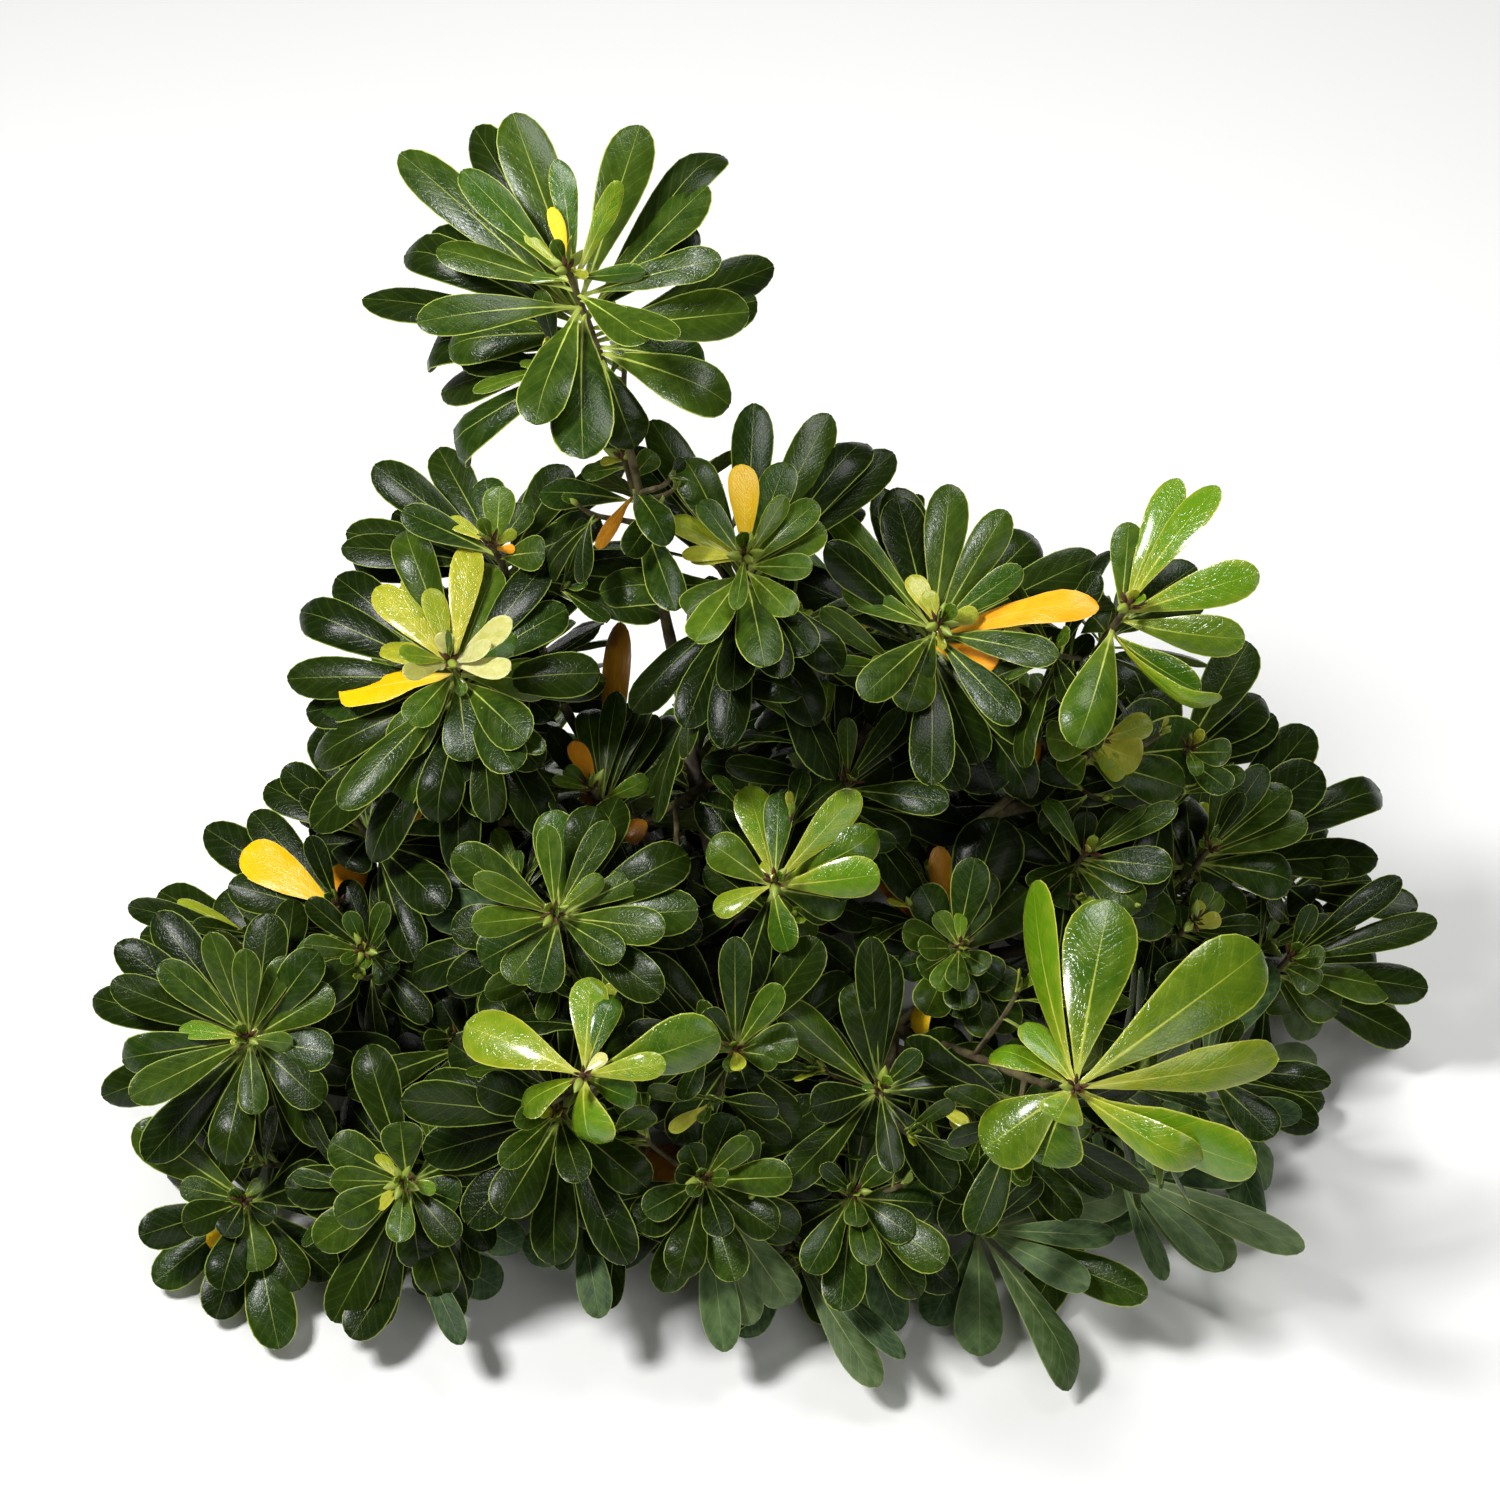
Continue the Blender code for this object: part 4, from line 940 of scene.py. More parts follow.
def report(piece: bpy.types.Object) -> None:
    """Says in the log how many faces a piece has."""
    log.info("%s: %d faces", piece.name, len(piece.data.polygons))


@dataclass
class Leaf:
    """One leaf: where its root and its end are, which way its upper side faces, its shape."""

    root: np.ndarray
    end: np.ndarray
    face: np.ndarray
    width: float
    tone: Tone
    bow: float = 0.25
    fold: float = 0.20
    cup: float = -0.30
    curl: float = 0.0
    twist: float = 0.0
    wave: float = 0.0
    phase: float = 0.0
    shade: int = 0


class Side(Enum):
    """The two sides of a leaf, in the order of a finish's materials."""

    UPPER = 0
    UNDER = 1


@dataclass(frozen=True)
class LeafShape:
    """How a leaf is drawn: a spoon-shaped blade on a short stalk, as a closed thin shell.

    Stations are places along the midrib as shares of the length. Across are the upper
    side's columns as shares of half the width. The lower side is two strips that meet on
    the keel, which is the last column.
    """

    stations: tuple[float, ...] = (0.0, 0.10, 0.22, 0.35, 0.48, 0.60, 0.71, 0.80, 0.88, 0.94, 0.98, 0.998)
    across: tuple[float, ...] = (-1.0, -0.6, 0.0, 0.6, 1.0)
    widening: float = 1.25
    rounding: float = 2.6
    stalk: float = 0.0010
    thickness: float = 0.0007
    groove: float = 0.0003
    rolled: float = 0.0005

    def half_width(self, share: np.ndarray) -> np.ndarray:
        """Half the width as a share of the widest: share^1.25 times the root of 1 - share^2.6.

        Args:
            share: places along the midrib as shares of the length.

        Returns:
            The shares of half the widest.
        """
        widest = (2 * self.widening / (2 * self.widening + self.rounding)) ** (1 / self.rounding)
        most = widest**self.widening * math.sqrt(1 - widest**self.rounding)
        return share**self.widening * np.sqrt(1 - share**self.rounding) / most

    def points(self, leaves: list[Leaf]) -> np.ndarray:
        """The points of many leaves at once.

        The midrib's direction starts above the straight line from root to end by the bow
        and ends below it by as much, and a curl bends the last quarter down. The section is
        the sum of a fold that rises from the midrib and a cup that falls with the square of
        the distance from it, both in half widths, with a groove at the midrib, a rolled
        margin and a wave along it.

        Args:
            leaves: the leaves.

        Returns:
            An array with axes for leaf, station, column and x, y, z.
        """
        def of(name: str) -> np.ndarray:
            """One number of every leaf, as a column."""
            return np.array([getattr(leaf, name) for leaf in leaves], float)[:, None]

        share = np.array(self.stations)
        root = np.array([leaf.root for leaf in leaves])
        line = np.array([leaf.end for leaf in leaves]) - root
        length = np.linalg.norm(line, axis=1, keepdims=True)
        way = line / length
        side = unit(np.cross(way, np.array([leaf.face for leaf in leaves])))
        face = np.cross(side, way)

        def lean(at: np.ndarray) -> np.ndarray:
            """The midrib's angle above the straight line at shares of the length."""
            return of("bow") * (1 - 2 * at) - of("curl") * eased((at - 0.66) / 0.30)

        middle, step = (share[1:] + share[:-1]) / 2, np.diff(share)
        nil = np.zeros((len(leaves), 1))
        along = np.concatenate((nil, np.cumsum(np.cos(lean(middle)) * step, axis=1)), axis=1)
        above = np.concatenate((nil, np.cumsum(np.sin(lean(middle)) * step, axis=1)), axis=1)
        turn = np.arctan2(above[:, -1:], along[:, -1:])
        grown = length / np.hypot(above[:, -1:], along[:, -1:])
        ahead = grown * (along * np.cos(turn) + above * np.sin(turn))
        lift = grown * (above * np.cos(turn) - along * np.sin(turn))
        angle = lean(share) - turn

        half = np.maximum(self.half_width(share) * of("width") / 2, self.stalk)
        reach = half[..., None] * np.array((*self.across, 0.0))
        far = np.abs(np.array((*self.across, 0.0)))
        blade = half / half.max(axis=1, keepdims=True)
        rise = (of("fold") * blade)[..., None] * far + (of("cup") * blade)[..., None] * far**2
        rise = rise * half[..., None]
        ripple = np.sin(2 * np.pi * 2.3 * share + of("phase"))[..., None] * np.sign(reach)
        rise = rise + (of("wave") * length)[..., None] * far**2 * ripple
        rise[..., 2] -= self.groove
        rise[..., (0, 4)] -= self.rolled
        rise[..., 5] -= self.groove + self.thickness * 1.5

        def spread(values: np.ndarray) -> np.ndarray:
            """Vectors of every leaf, ready to be scaled at every station."""
            return values[:, None, :]

        middle_line = spread(root) + spread(way) * ahead[..., None] + spread(face) * lift[..., None]
        normal = spread(face) * np.cos(angle)[..., None] - spread(way) * np.sin(angle)[..., None]
        roll = (of("twist") * share)[..., None]
        cross = spread(side) * np.cos(roll) + normal * np.sin(roll)
        normal = normal * np.cos(roll) - spread(side) * np.sin(roll)
        return (
            middle_line[:, :, None, :]
            + cross[:, :, None, :] * reach[..., None]
            + normal[:, :, None, :] * rise[..., None]
        )

    def faces(self) -> tuple[np.ndarray, np.ndarray, np.ndarray]:
        """The faces of one leaf.

        Returns:
            The upper side's and then the lower side's four-cornered faces, and two caps.
        """
        columns, stations = len(self.across) + 1, len(self.stations)
        row = np.arange(stations - 1)[:, None] * columns
        top = row + np.arange(columns - 2)
        upper = np.stack((top, top + 1, top + 1 + columns, top + columns), axis=-1).reshape(-1, 4)
        edges = np.array((0, columns - 1, columns - 2))
        low, high = row + edges[:-1], row + edges[1:]
        lower = np.stack((low, low + columns, high + columns, high), axis=-1).reshape(-1, 4)
        ring = (0, *range(columns - 1, 0, -1))
        caps = np.array((ring, tuple(reversed(ring))))
        caps[1] += (stations - 1) * columns
        return upper, lower, caps

    def places(self) -> np.ndarray:
        """Each point's place on the blade: across from 0 to 1, and along from 0 to 1.

        Returns:
            One row for each point of a leaf.
        """
        across = np.array((*self.across, 0.0)) / 2 + 0.5
        grid = np.meshgrid(np.array(self.stations), across, indexing="ij")
        return np.stack((grid[1], grid[0]), axis=-1).reshape(-1, 2)


LEAF_SHAPE = LeafShape()
ROUGH_SHAPE = LeafShape(stations=(0.10, 0.40, 0.74, 0.98))
CLOSE_SHAPE = LeafShape(stations=tuple(share / 20 for share in range(3, 20)))
SHADES = 3
HIDDEN_TONES = (DEEP, DARK, DUSTY, CHALKY)
OPEN_TONES = (FRESH, BRIGHT, LIME, GOLD, ORANGE)
INNER_TONES = {
    "leaf_bright": (FRESH, BRIGHT, LIME), "leaf_middling": (LIGHT, FRESH, BRIGHT),
    "leaf_dark": (GREEN, LIGHT, FRESH), "leaf_dusty": (GREEN, LIGHT),
}


class Spacing:
    """Keeps limbs and leaves apart: what has been placed, and whether something meets it."""

    def __init__(self) -> None:
        """Starts with nothing placed."""
        self.trees: list[BVHTree] = []
        self.centres = np.zeros((0, 3))
        self.reaches = np.zeros(0)

    def add(self, points: np.ndarray, faces: np.ndarray) -> None:
        """Places a shape, given by its points and its four-cornered faces.

        Args:
            points: the points, one a row.
            faces: the faces, with four corners each.
        """
        self.trees.append(BVHTree.FromPolygons(points.tolist(), faces.tolist()))
        centre = points.mean(axis=0)
        self.centres = np.vstack((self.centres, centre))
        self.reaches = np.append(self.reaches, np.linalg.norm(points - centre, axis=1).max())

    def meets(self, points: np.ndarray, faces: np.ndarray) -> bool:
        """Whether a shape crosses anything that has been placed.

        Args:
            points: the points, one a row.
            faces: the faces, with four corners each.

        Returns:
            True if it meets something.
        """
        centre = points.mean(axis=0)
        reach = np.linalg.norm(points - centre, axis=1).max()
        near = np.linalg.norm(self.centres - centre, axis=1) < self.reaches + reach
        if not near.any():
            return False
        tree = BVHTree.FromPolygons(points.tolist(), faces.tolist())
        return any(tree.overlap(self.trees[index]) for index in np.flatnonzero(near))


def within(edge: tuple[tuple[float, float], ...], places: np.ndarray) -> np.ndarray:
    """Which places lie inside a closed outline, by the parity of its crossings.

    Args:
        edge: the corners of the outline.
        places: points in the same plane, with a last axis of two.

    Returns:
        True for each place that lies inside.
    """
    corners = np.array(edge, float)
    following = np.roll(corners, -1, axis=0)
    x, y = places[..., 0:1], places[..., 1:2]
    spans = (corners[:, 1] > y) != (following[:, 1] > y)
    slope = (following[:, 0] - corners[:, 0]) / np.where(
        following[:, 1] == corners[:, 1], 1e-9, following[:, 1] - corners[:, 1]
    )
    crossed = spans & (x < corners[:, 0] + (y - corners[:, 1]) * slope)
    return crossed.sum(axis=-1) % 2 == 1


def curve(
    start: np.ndarray, start_way: np.ndarray, end: np.ndarray, end_way: np.ndarray, pieces: int
) -> np.ndarray:
    """A cubic curve that leaves and arrives in two given directions.

    The two inner control points lie 0.4 of the distance from the ends, and the points are
    the usual cubic blend of the four control points.

    Args:
        start: where it starts.
        start_way: the direction in which it leaves.
        end: where it ends.
        end_way: the direction in which it arrives.
        pieces: the number of straight pieces.

    Returns:
        The points along the curve, one a row.
    """
    reach = np.linalg.norm(end - start) * 0.4
    t = np.linspace(0.0, 1.0, pieces + 1)[:, None]
    s = 1.0 - t
    first, second = start + start_way * reach, end - end_way * reach
    return start * s**3 + first * 3 * s * s * t + second * 3 * s * t * t + end * t**3


def tube(path: np.ndarray, radii: np.ndarray, sides: int) -> tuple[np.ndarray, np.ndarray, list[np.ndarray]]:
    """A round profile carried along a path, closed by a cap at each end.

    The profile stands square to the path and is turned so that one of its axes stays on the
    normal of the plane that the path bends in.

    Args:
        path: the middle line, one point a row.
        radii: the radius at each point and side, or at each point.
        sides: the number of sides.

    Returns:
        The points as rings, the side faces, and the two caps as rows of many corners.
    """
    along = unit(np.gradient(path, axis=0))
    plane = np.cross(along[0], along[-1])
    if np.linalg.norm(plane) < 1e-3:
        plane = np.cross(along[0], UP if abs(along[0][2]) < 0.9 else np.array((1.0, 0.0, 0.0)))
    first = unit(plane - along * (along @ plane)[:, None])
    second = np.cross(along, first)
    turn = np.linspace(0.0, 2 * math.pi, sides, endpoint=False)
    radii = radii if radii.ndim == 2 else radii[:, None] * np.ones(sides)
    ring = first[:, None] * np.cos(turn)[:, None] + second[:, None] * np.sin(turn)[:, None]
    points = path[:, None] + ring * radii[..., None]
    here = np.arange(len(path) - 1)[:, None] * sides + np.arange(sides)
    beside = np.arange(len(path) - 1)[:, None] * sides + (np.arange(sides) + 1) % sides
    skin = np.stack((here, beside, beside + sides, here + sides), axis=-1).reshape(-1, 4)
    low = np.arange(sides)[::-1][None]
    high = (len(path) - 1) * sides + np.arange(sides)[None]
    return points, skin, [low, high]


def relief(seed: int, rings: int, sides: int, depth: float) -> np.ndarray:
    """The bark's relief round a limb: a sum of waves of random phase round and along it.

    Args:
        seed: starts the random phases.
        rings: the number of rings.
        sides: the number of sides.
        depth: the height of the strongest wave in metres.

    Returns:
        How far each point of the limb stands out, in metres.
    """
    chance = np.random.default_rng(seed)
    turn = np.linspace(0.0, 2 * math.pi, sides, endpoint=False)
    along = np.linspace(0.0, 1.0, rings)[:, None]
    total = np.zeros((rings, sides))
    for count in (2, 3, 5, 7, 9):
        phase, drift = chance.uniform(0, 2 * math.pi, 2), chance.uniform(2, 12)
        wave = np.cos(count * turn + phase[0] + drift * along)
        total += wave * np.cos(drift * 1.7 * along + phase[1]) * depth / count**0.5
    return total


@dataclass(frozen=True)
class Limbs:
    """The trunk and the boughs: the source's sizes, and the lines along which they run."""

    trunk_height: float = 0.150
    trunk_radius: float = 0.014
    trunk_taper: float = 0.25
    flare_radius: float = 0.030
    flare_height: float = 0.022
    flare_lobes: int = 5
    lobe_depth: float = 0.14
    lean: tuple[float, float, float] = (-0.008, 0.006, 0.0)
    root_radius: float = 0.0066
    tip_radius: float = 0.0034
    share: float = 0.60
    lift: float = 0.020
    rise: tuple[float, float] = (math.radians(12), math.radians(88))
    sides: int = 48
    bough_sides: int = 18

    def trunk_centre(self, height: np.ndarray) -> np.ndarray:
        """The middle of the trunk: it leans more the higher it gets, by the power of 1.5."""
        height = np.asarray(height, float)[..., None]
        return np.array(self.lean) * (height / self.trunk_height) ** 1.5 + UP * height

    def middle_of(self, mass: Mass) -> np.ndarray:
        """The mean of the feet of a mass's rosettes."""
        return np.mean([shoot.tip() - shoot.axis() * shoot.whorl for shoot in mass.shoots], axis=0)

    def bough_path(self, mass: Mass, pieces: int = 30) -> np.ndarray:
        """The middle line of a bough, from inside the trunk to where its mass begins.

        Args:
            mass: the mass that the bough carries.
            pieces: the number of straight pieces.

        Returns:
            The points along it, one a row.
        """
        start = self.trunk_centre(mass.socket)
        middle = self.middle_of(mass)
        level = unit(np.array((middle[0] - start[0], middle[1] - start[1], 0.0)))
        rise = blended(*self.rise, (mass.socket / self.trunk_height) ** 2)
        leaving = level * math.cos(rise) + UP * math.sin(rise)
        end = blended(start, middle, self.share)
        arriving = unit(middle - end + UP * self.lift)
        return curve(start, leaving, end, arriving, pieces)

    def make_trunk(self, bark: bpy.types.Material) -> bpy.types.Object:
        """The trunk: a taper with a lobed root flare, ridged bark and a flat foot.

        The radius is the taper, plus the flare that fades with height, times a wave of five
        lobes, plus the relief, which is nothing at the ground and at the top.

        Args:
            bark: its finish.

        Returns:
            The piece.
        """
        height = self.trunk_height * np.linspace(0.0, 1.0, 60) ** 1.4
        turn = np.linspace(0.0, 2 * math.pi, self.sides, endpoint=False)
        flare = np.exp(-height / self.flare_height)[:, None]
        taper = (self.trunk_radius * (1 - self.trunk_taper * height / self.trunk_height))[:, None]
        lobes = 1 + self.lobe_depth * flare * np.cos(self.flare_lobes * turn)
        radius = (taper + (self.flare_radius - self.trunk_radius) * flare) * lobes
        bumps = relief(7, len(height), self.sides, 0.00045)
        radius = radius + bumps * np.sin(np.linspace(0, math.pi, len(height)))[:, None] ** 0.3 - 0.0004
        ring = np.stack((np.cos(turn), np.sin(turn), np.zeros_like(turn)), axis=-1)
        points = self.trunk_centre(height)[:, None] + ring * radius[..., None]
        _, skin, caps = tube(self.trunk_centre(height), taper[:, 0], self.sides)
        return make_piece("trunk_bark", points, [skin, *caps], [bark], BARK_EDGE)

    def make_bough(self, number: int, mass: Mass, bark: bpy.types.Material) -> bpy.types.Object:
        """One tapering limb with a swollen foot where it leaves the trunk.

        Args:
            number: starts the relief's random phases.
            mass: the mass that the bough carries.
            bark: its finish.

        Returns:
            The piece.
        """
        path = self.bough_path(mass)
        share = np.linspace(0.0, 1.0, len(path))
        radius = blended(self.root_radius, self.tip_radius, share) + 0.002 * np.exp(-share / 0.12)
        radii = radius[:, None] + relief(number, len(path), self.bough_sides, 0.00025) - 0.0001
        points, skin, caps = tube(path, radii, self.bough_sides)
        return make_piece("bark_" + mass.name, points, [skin, *caps], [bark], BARK_EDGE)

    def build(self) -> None:
        """Makes the trunk and the boughs, which replace their solids."""
        bark = OLD_BARK.material()
        trunk = self.make_trunk(bark)
        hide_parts("trunk")
        report(trunk)
        for number, mass in enumerate(MASSES):
            bough = self.make_bough(number, mass, bark)
            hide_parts("bough_" + mass.name)
            report(bough)


class Twig:
    """A twig and the rosette on it: its middle line, with places told from the tip down."""

    def __init__(self, path: np.ndarray, shoot: Shoot, main: bool) -> None:
        """Measures the line.

        Args:
            path: the twig's middle line, from its foot to its tip.
            shoot: the rosette that it carries.
            main: whether the source has this twig too.
        """
        self.path, self.shoot, self.main = path, shoot, main
        steps = np.linalg.norm(np.diff(path[::-1], axis=0), axis=1)
        self.below = np.concatenate(((0.0,), np.cumsum(steps)))

    def at(self, below: float) -> tuple[np.ndarray, np.ndarray]:
        """The point and the direction of growth at a distance below the tip.

        Args:
            below: the distance, along the twig.

        Returns:
            The point and a direction of length one.
        """
        back = self.path[::-1]
        here = np.array([np.interp(below, self.below, back[:, axis]) for axis in range(3)])
        under = np.array([np.interp(below + 0.004, self.below, back[:, axis]) for axis in range(3)])
        way = here - under
        if np.linalg.norm(way) < 1e-6:
            way = self.path[1] - self.path[0]
        return here, unit(way)


@dataclass
class Foliage:
    """The twigs, buds and leaves of every mass, grown by the source's rule."""

    limbs: Limbs
    golden: float = 137.508
    whorl_top: float = 0.003
    whorl_foot: float = 0.006
    bearing: float = 1.35
    opening_young: float = 26.0
    scatter: float = 5.0
    young_length: float = 0.45
    young_width: float = 0.40
    grown_age: float = 0.50
    least_shown: float = 0.60
    open_shown: float = 0.92
    turned: float = 0.45
    depths: tuple[float, ...] = (1.0, -1.0, 0.66, 0.33, 0.0, -0.33, -0.66)
    least_lean: float = 0.45
    order: float = 8.0
    depth: float = 1.15
    star_depth: float = 0.50
    stoutest: float = 0.46
    inner: int = 7
    inner_length: tuple[float, float] = (0.15, 0.36)
    inner_opening: tuple[float, float] = (8.0, 46.0)
    stem: float = 0.016
    twig_radii: tuple[float, float] = (0.0030, 0.0017)
    side_radii: tuple[float, float] = (0.0019, 0.0013)
    side_shares: tuple[float, ...] = (0.42, 0.66, 0.84)
    side_length: tuple[float, float] = (0.034, 0.056)
    side_leaves: int = 13
    tries: tuple[tuple[float, float, float], ...] = (
        (0, 0, 1.0), (9, -6, 1.0), (-9, 5, 1.0), (17, 4, 0.9), (-17, -9, 0.9), (0, 12, 0.8), (24, -4, 0.8),
    )
    square: float = 12.0
    covering: float = 0.10
    touching: float = 0.001
    off_ground: float = 0.008
    to_axis: float = 0.55
    to_viewer: float = 0.45
    curled: float = 0.22
    fallen: tuple[float, float] = (0.9, 0.035)
    main_steps: tuple[float, ...] = (0.10, 0.24, 0.46, 0.85)
    side_steps: tuple[float, ...] = (0.03, 0.10, 0.36, 0.75)
    green_bud: tuple[float, float] = (0.010, 0.013)
    dry_bud: tuple[float, float] = (0.006, 0.010)
    shown: np.ndarray = field(default_factory=lambda: np.full((125, 125), FAR))
    twigs: dict[str, list[Twig]] = field(default_factory=dict)
    leaves: dict[str, list[Leaf]] = field(default_factory=dict)
    spacing: Spacing = field(default_factory=Spacing)

    def grow_twigs(self, number: int, mass: Mass) -> list[Twig]:
        """The twigs of a mass: one to each shoot, and finer side twigs off them.

        Args:
            number: starts the random choices of the mass.
            mass: the mass.

        Returns:
            The twigs.
        """
        path = self.limbs.bough_path(mass)
        arriving = unit(path[-1] - path[-2])
        fork = path[-1] + arriving * self.stem * 0.5
        found = []
        for position, shoot in enumerate(mass.shoots):
            tip, axis = shoot.tip(), shoot.axis()
            foot = tip - axis * (shoot.whorl + self.whorl_foot)
            bent = curve(fork, arriving, foot, axis, 14)
            straight = blended(foot, tip, np.linspace(0, 1, 7)[1:, None])
            twig = Twig(np.vstack((bent, straight)), shoot, True)
            found.append(twig)
            found.extend(self.side_twigs(twig, random.Random(100 * number + position)))
        return found

    def side_twigs(self, twig: Twig, chance: random.Random) -> Iterator[Twig]:
        """Finer twigs that leave a twig at set shares of its length, turned by the golden angle.

        Args:
            twig: the twig that they leave.
            chance: the random choices.

        Returns:
            Each side twig with a small rosette of its own.
        """
        phase = chance.uniform(0, 360)
        for count, share in enumerate(self.side_shares):
            start, way = twig.at(twig.below[-1] * (1 - share * 0.8))
            turn = math.radians(phase + self.golden * count)
            across = unit(np.cross(way, UP) if abs(way[2]) < 0.95 else np.array((1.0, 0.0, 0.0)))
            outward = across * math.cos(turn) + np.cross(way, across) * math.sin(turn)
            leaving = unit(way * 0.55 + outward + UP * 0.25)
            end = start + leaving * chance.uniform(*self.side_length)
            if end[2] < 0.025:
                continue
            arriving = unit(leaving + UP * 0.7)
            shoot = Shoot(
                place=tuple(end), leaf=twig.shoot.leaf * 0.80, whorl=0.016, more=self.side_leaves,
                wide=twig.shoot.wide * 0.82,
            )
            yield Twig(curve(start, leaving, end, arriving, 8), shoot, False)

    def opening(self, shoot: Shoot, age: float) -> float:
        """How far a leaf of this age opens from the axis, in degrees."""
        return blended(self.opening_young, shoot.oldest, min(age, 1.15) ** 0.8)

    def length(self, shoot: Shoot, age: float) -> float:
        """How long a leaf of this age is."""
        return shoot.leaf * min(1.0, blended(self.young_length, 1.0, age / self.grown_age))

    def width(self, shoot: Shoot, age: float) -> float:
        """How wide a leaf of this age is."""
        return shoot.wide * min(1.0, blended(self.young_width, 1.0, age / self.grown_age))

    def shaped(self, leaf: Leaf, age: float, chance: random.Random) -> Leaf:
        """Gives a leaf its bow, fold and twist: young ones are troughs, old ones arch over.

        Args:
            leaf: the leaf.
            age: its age from 0 to 1 and over.
            chance: the random choices.

        Returns:
            The same leaf.
        """
        leaf.bow = blended(0.10, 0.34, age) * chance.uniform(0.6, 1.3)
        leaf.fold = blended(0.40, 0.16, age) * chance.uniform(0.7, 1.2)
        leaf.cup = blended(-0.30, -0.46, age) * chance.uniform(0.7, 1.2)
        leaf.twist = chance.uniform(-0.25, 0.25)
        leaf.wave = chance.choice((0.0, 0.0, 0.006, 0.010, 0.016))
        leaf.phase = chance.uniform(0, 2 * math.pi)
        leaf.shade = chance.randrange(SHADES)
        leaf.width *= chance.uniform(0.92, 1.08)
        if leaf.curl == 0.0 and age > self.grown_age and chance.random() < self.curled:
            leaf.curl = chance.uniform(0.3, 1.0)
        return leaf

    def drawn_leaf(
        self, twig: Twig, seen: Tip, share: float, front: np.ndarray, chance: random.Random
    ) -> Leaf:
        """A leaf that the photograph shows, from the twig to the sight line of its end.

        Its end lies on the sight line, at one of a few depths up to the leaf's length from
        the root. The best depth is the one that keeps it behind the young bright leaves of
        its shoot and agrees with how far the rule opens a leaf there. An open leaf, as all of a
        star's and all bright ones are, ends square to the way half between the viewer and
        the key lamp. A star's leaves face that way, and others are turned a little from it.

        Args:
            twig: the twig that it grows on.
            seen: the end of the leaf in the photograph.
            share: its place among the leaves of the shoot, from 0 at the top to 1.
            front: how far away the young bright leaves are in each square of the photograph.
            chance: the random choices.

        Returns:
            The leaf.
        """
        shoot = twig.shoot
        age = blended(shoot.youngest, 1.0, share)
        lies_open = shoot.star or seen.tone in OPEN_TONES
        least = self.open_shown if lies_open else self.least_shown
        deep = self.star_depth if shoot.star else self.depth
        root, _ = twig.at(self.whorl_top + shoot.whorl * share * deep)
        line, eye = SIGHT.line((seen.x, seen.y)), SIGHT.eye()
        foot = eye + line * ((root - eye) @ line)
        shown = np.linalg.norm(foot - root)
        length = min(max(self.length(shoot, age), shown), shown / least)
        depth = math.sqrt(max(length**2 - shown**2, (self.least_lean * shown) ** 2))
        wanted = math.radians(90 if lies_open else self.opening(shoot, share))
        axis = unit(unit(KEY - root) - line) if lies_open else shoot.axis()
        width = self.width(shoot, age) * seen.wide
        if age < self.grown_age:
            width = min(width, length * self.stoutest)
        roll = seen.roll + (self.turned if lies_open and not shoot.star else 0.0)
        found = []
        for part in self.depths:
            end = foot + line * depth * part
            if end[2] < GROUND + self.off_ground:
                end = eye + line * ((GROUND + self.off_ground - eye[2]) / line[2])
            way = unit(end - root)
            face = axis if shoot.star else unit(axis * self.to_axis - line * self.to_viewer)
            face = unit(face - way * (way @ face))
            face = face * math.cos(roll) + np.cross(way, face) * math.sin(roll)
            leaf = Leaf(root, end, face, width, seen.tone, curl=seen.curl)
            cells, away = self.view(leaf)
            hidden = ((away < front[cells] - self.touching) & (front[cells] < FAR)).mean()
            astray = abs(math.acos(np.clip(way @ axis, -1, 1)) - wanted)
            found.append((self.order * hidden + astray, len(found), leaf))
        return self.shaped(min(found)[2], age, chance)

    def rule_leaf(self, twig: Twig, age: float, turn: float, opening: float, length: float) -> Leaf:
        """A leaf by the rule: turned round the axis and opened from it.

        Args:
            twig: the twig that it grows on.
            age: its age from 0 to 1 and over.
            turn: its turn in degrees, clockwise from up the picture.
            opening: how far it opens in degrees.
            length: its length.

        Returns:
            The leaf, before it has its shape.
        """
        shoot = twig.shoot
        root, axis = twig.at(self.whorl_top + shoot.whorl * self.bearing * age)
        upward = SIGHT.ways()[1]
        ahead = unit(upward - axis * (upward @ axis))
        right = np.cross(ahead, axis)
        turn, opening = math.radians(turn), math.radians(opening)
        outward = ahead * math.cos(turn) + right * math.sin(turn)
        way = unit(axis * math.cos(opening) + outward * math.sin(opening))
        lowest = (2 * GROUND + 0.004 - root[2]) / length
        if way[2] < lowest:
            rise = min(0.95, lowest)
            way = unit(np.array((way[0], way[1], 0.0))) * math.sqrt(1 - rise * rise) + UP * rise
        face = unit(axis - way * (way @ axis))
        return Leaf(root, root + way * length, face, self.width(shoot, age), GREEN)

    def tone(self, mass: Mass, twig: Twig, age: float, chance: random.Random) -> Tone:
        """The colour of a leaf by its age: lime at the tip, then light, green and dark, and for the oldest
        the deepest green, which is painted shade.

        Where the photograph shows a shoot, its lime leaves are among the drawn ones.

        Args:
            mass: the mass that it belongs to.
            twig: the twig that it grows on.
            age: its age from 0 to 1 and over.
            chance: the random choices.

        Returns:
            The colour.
        """
        old, share = self.fallen
        if age > old and chance.random() < share:
            return chance.choice((GOLD, ORANGE, RUST, RUST))
        if mass.dusty:
            return chance.choice((DUSTY, DUSTY, CHALKY, DARK))
        steps = self.main_steps if twig.main else self.side_steps
        if twig.shoot.seen:
            steps = (0.0, *steps[1:])
        late = chance.uniform(-0.06, 0.06)
        for limit, tone in zip(steps, (LIME, LIGHT, GREEN, DARK), strict=True):
            if age + late < limit:
                return tone
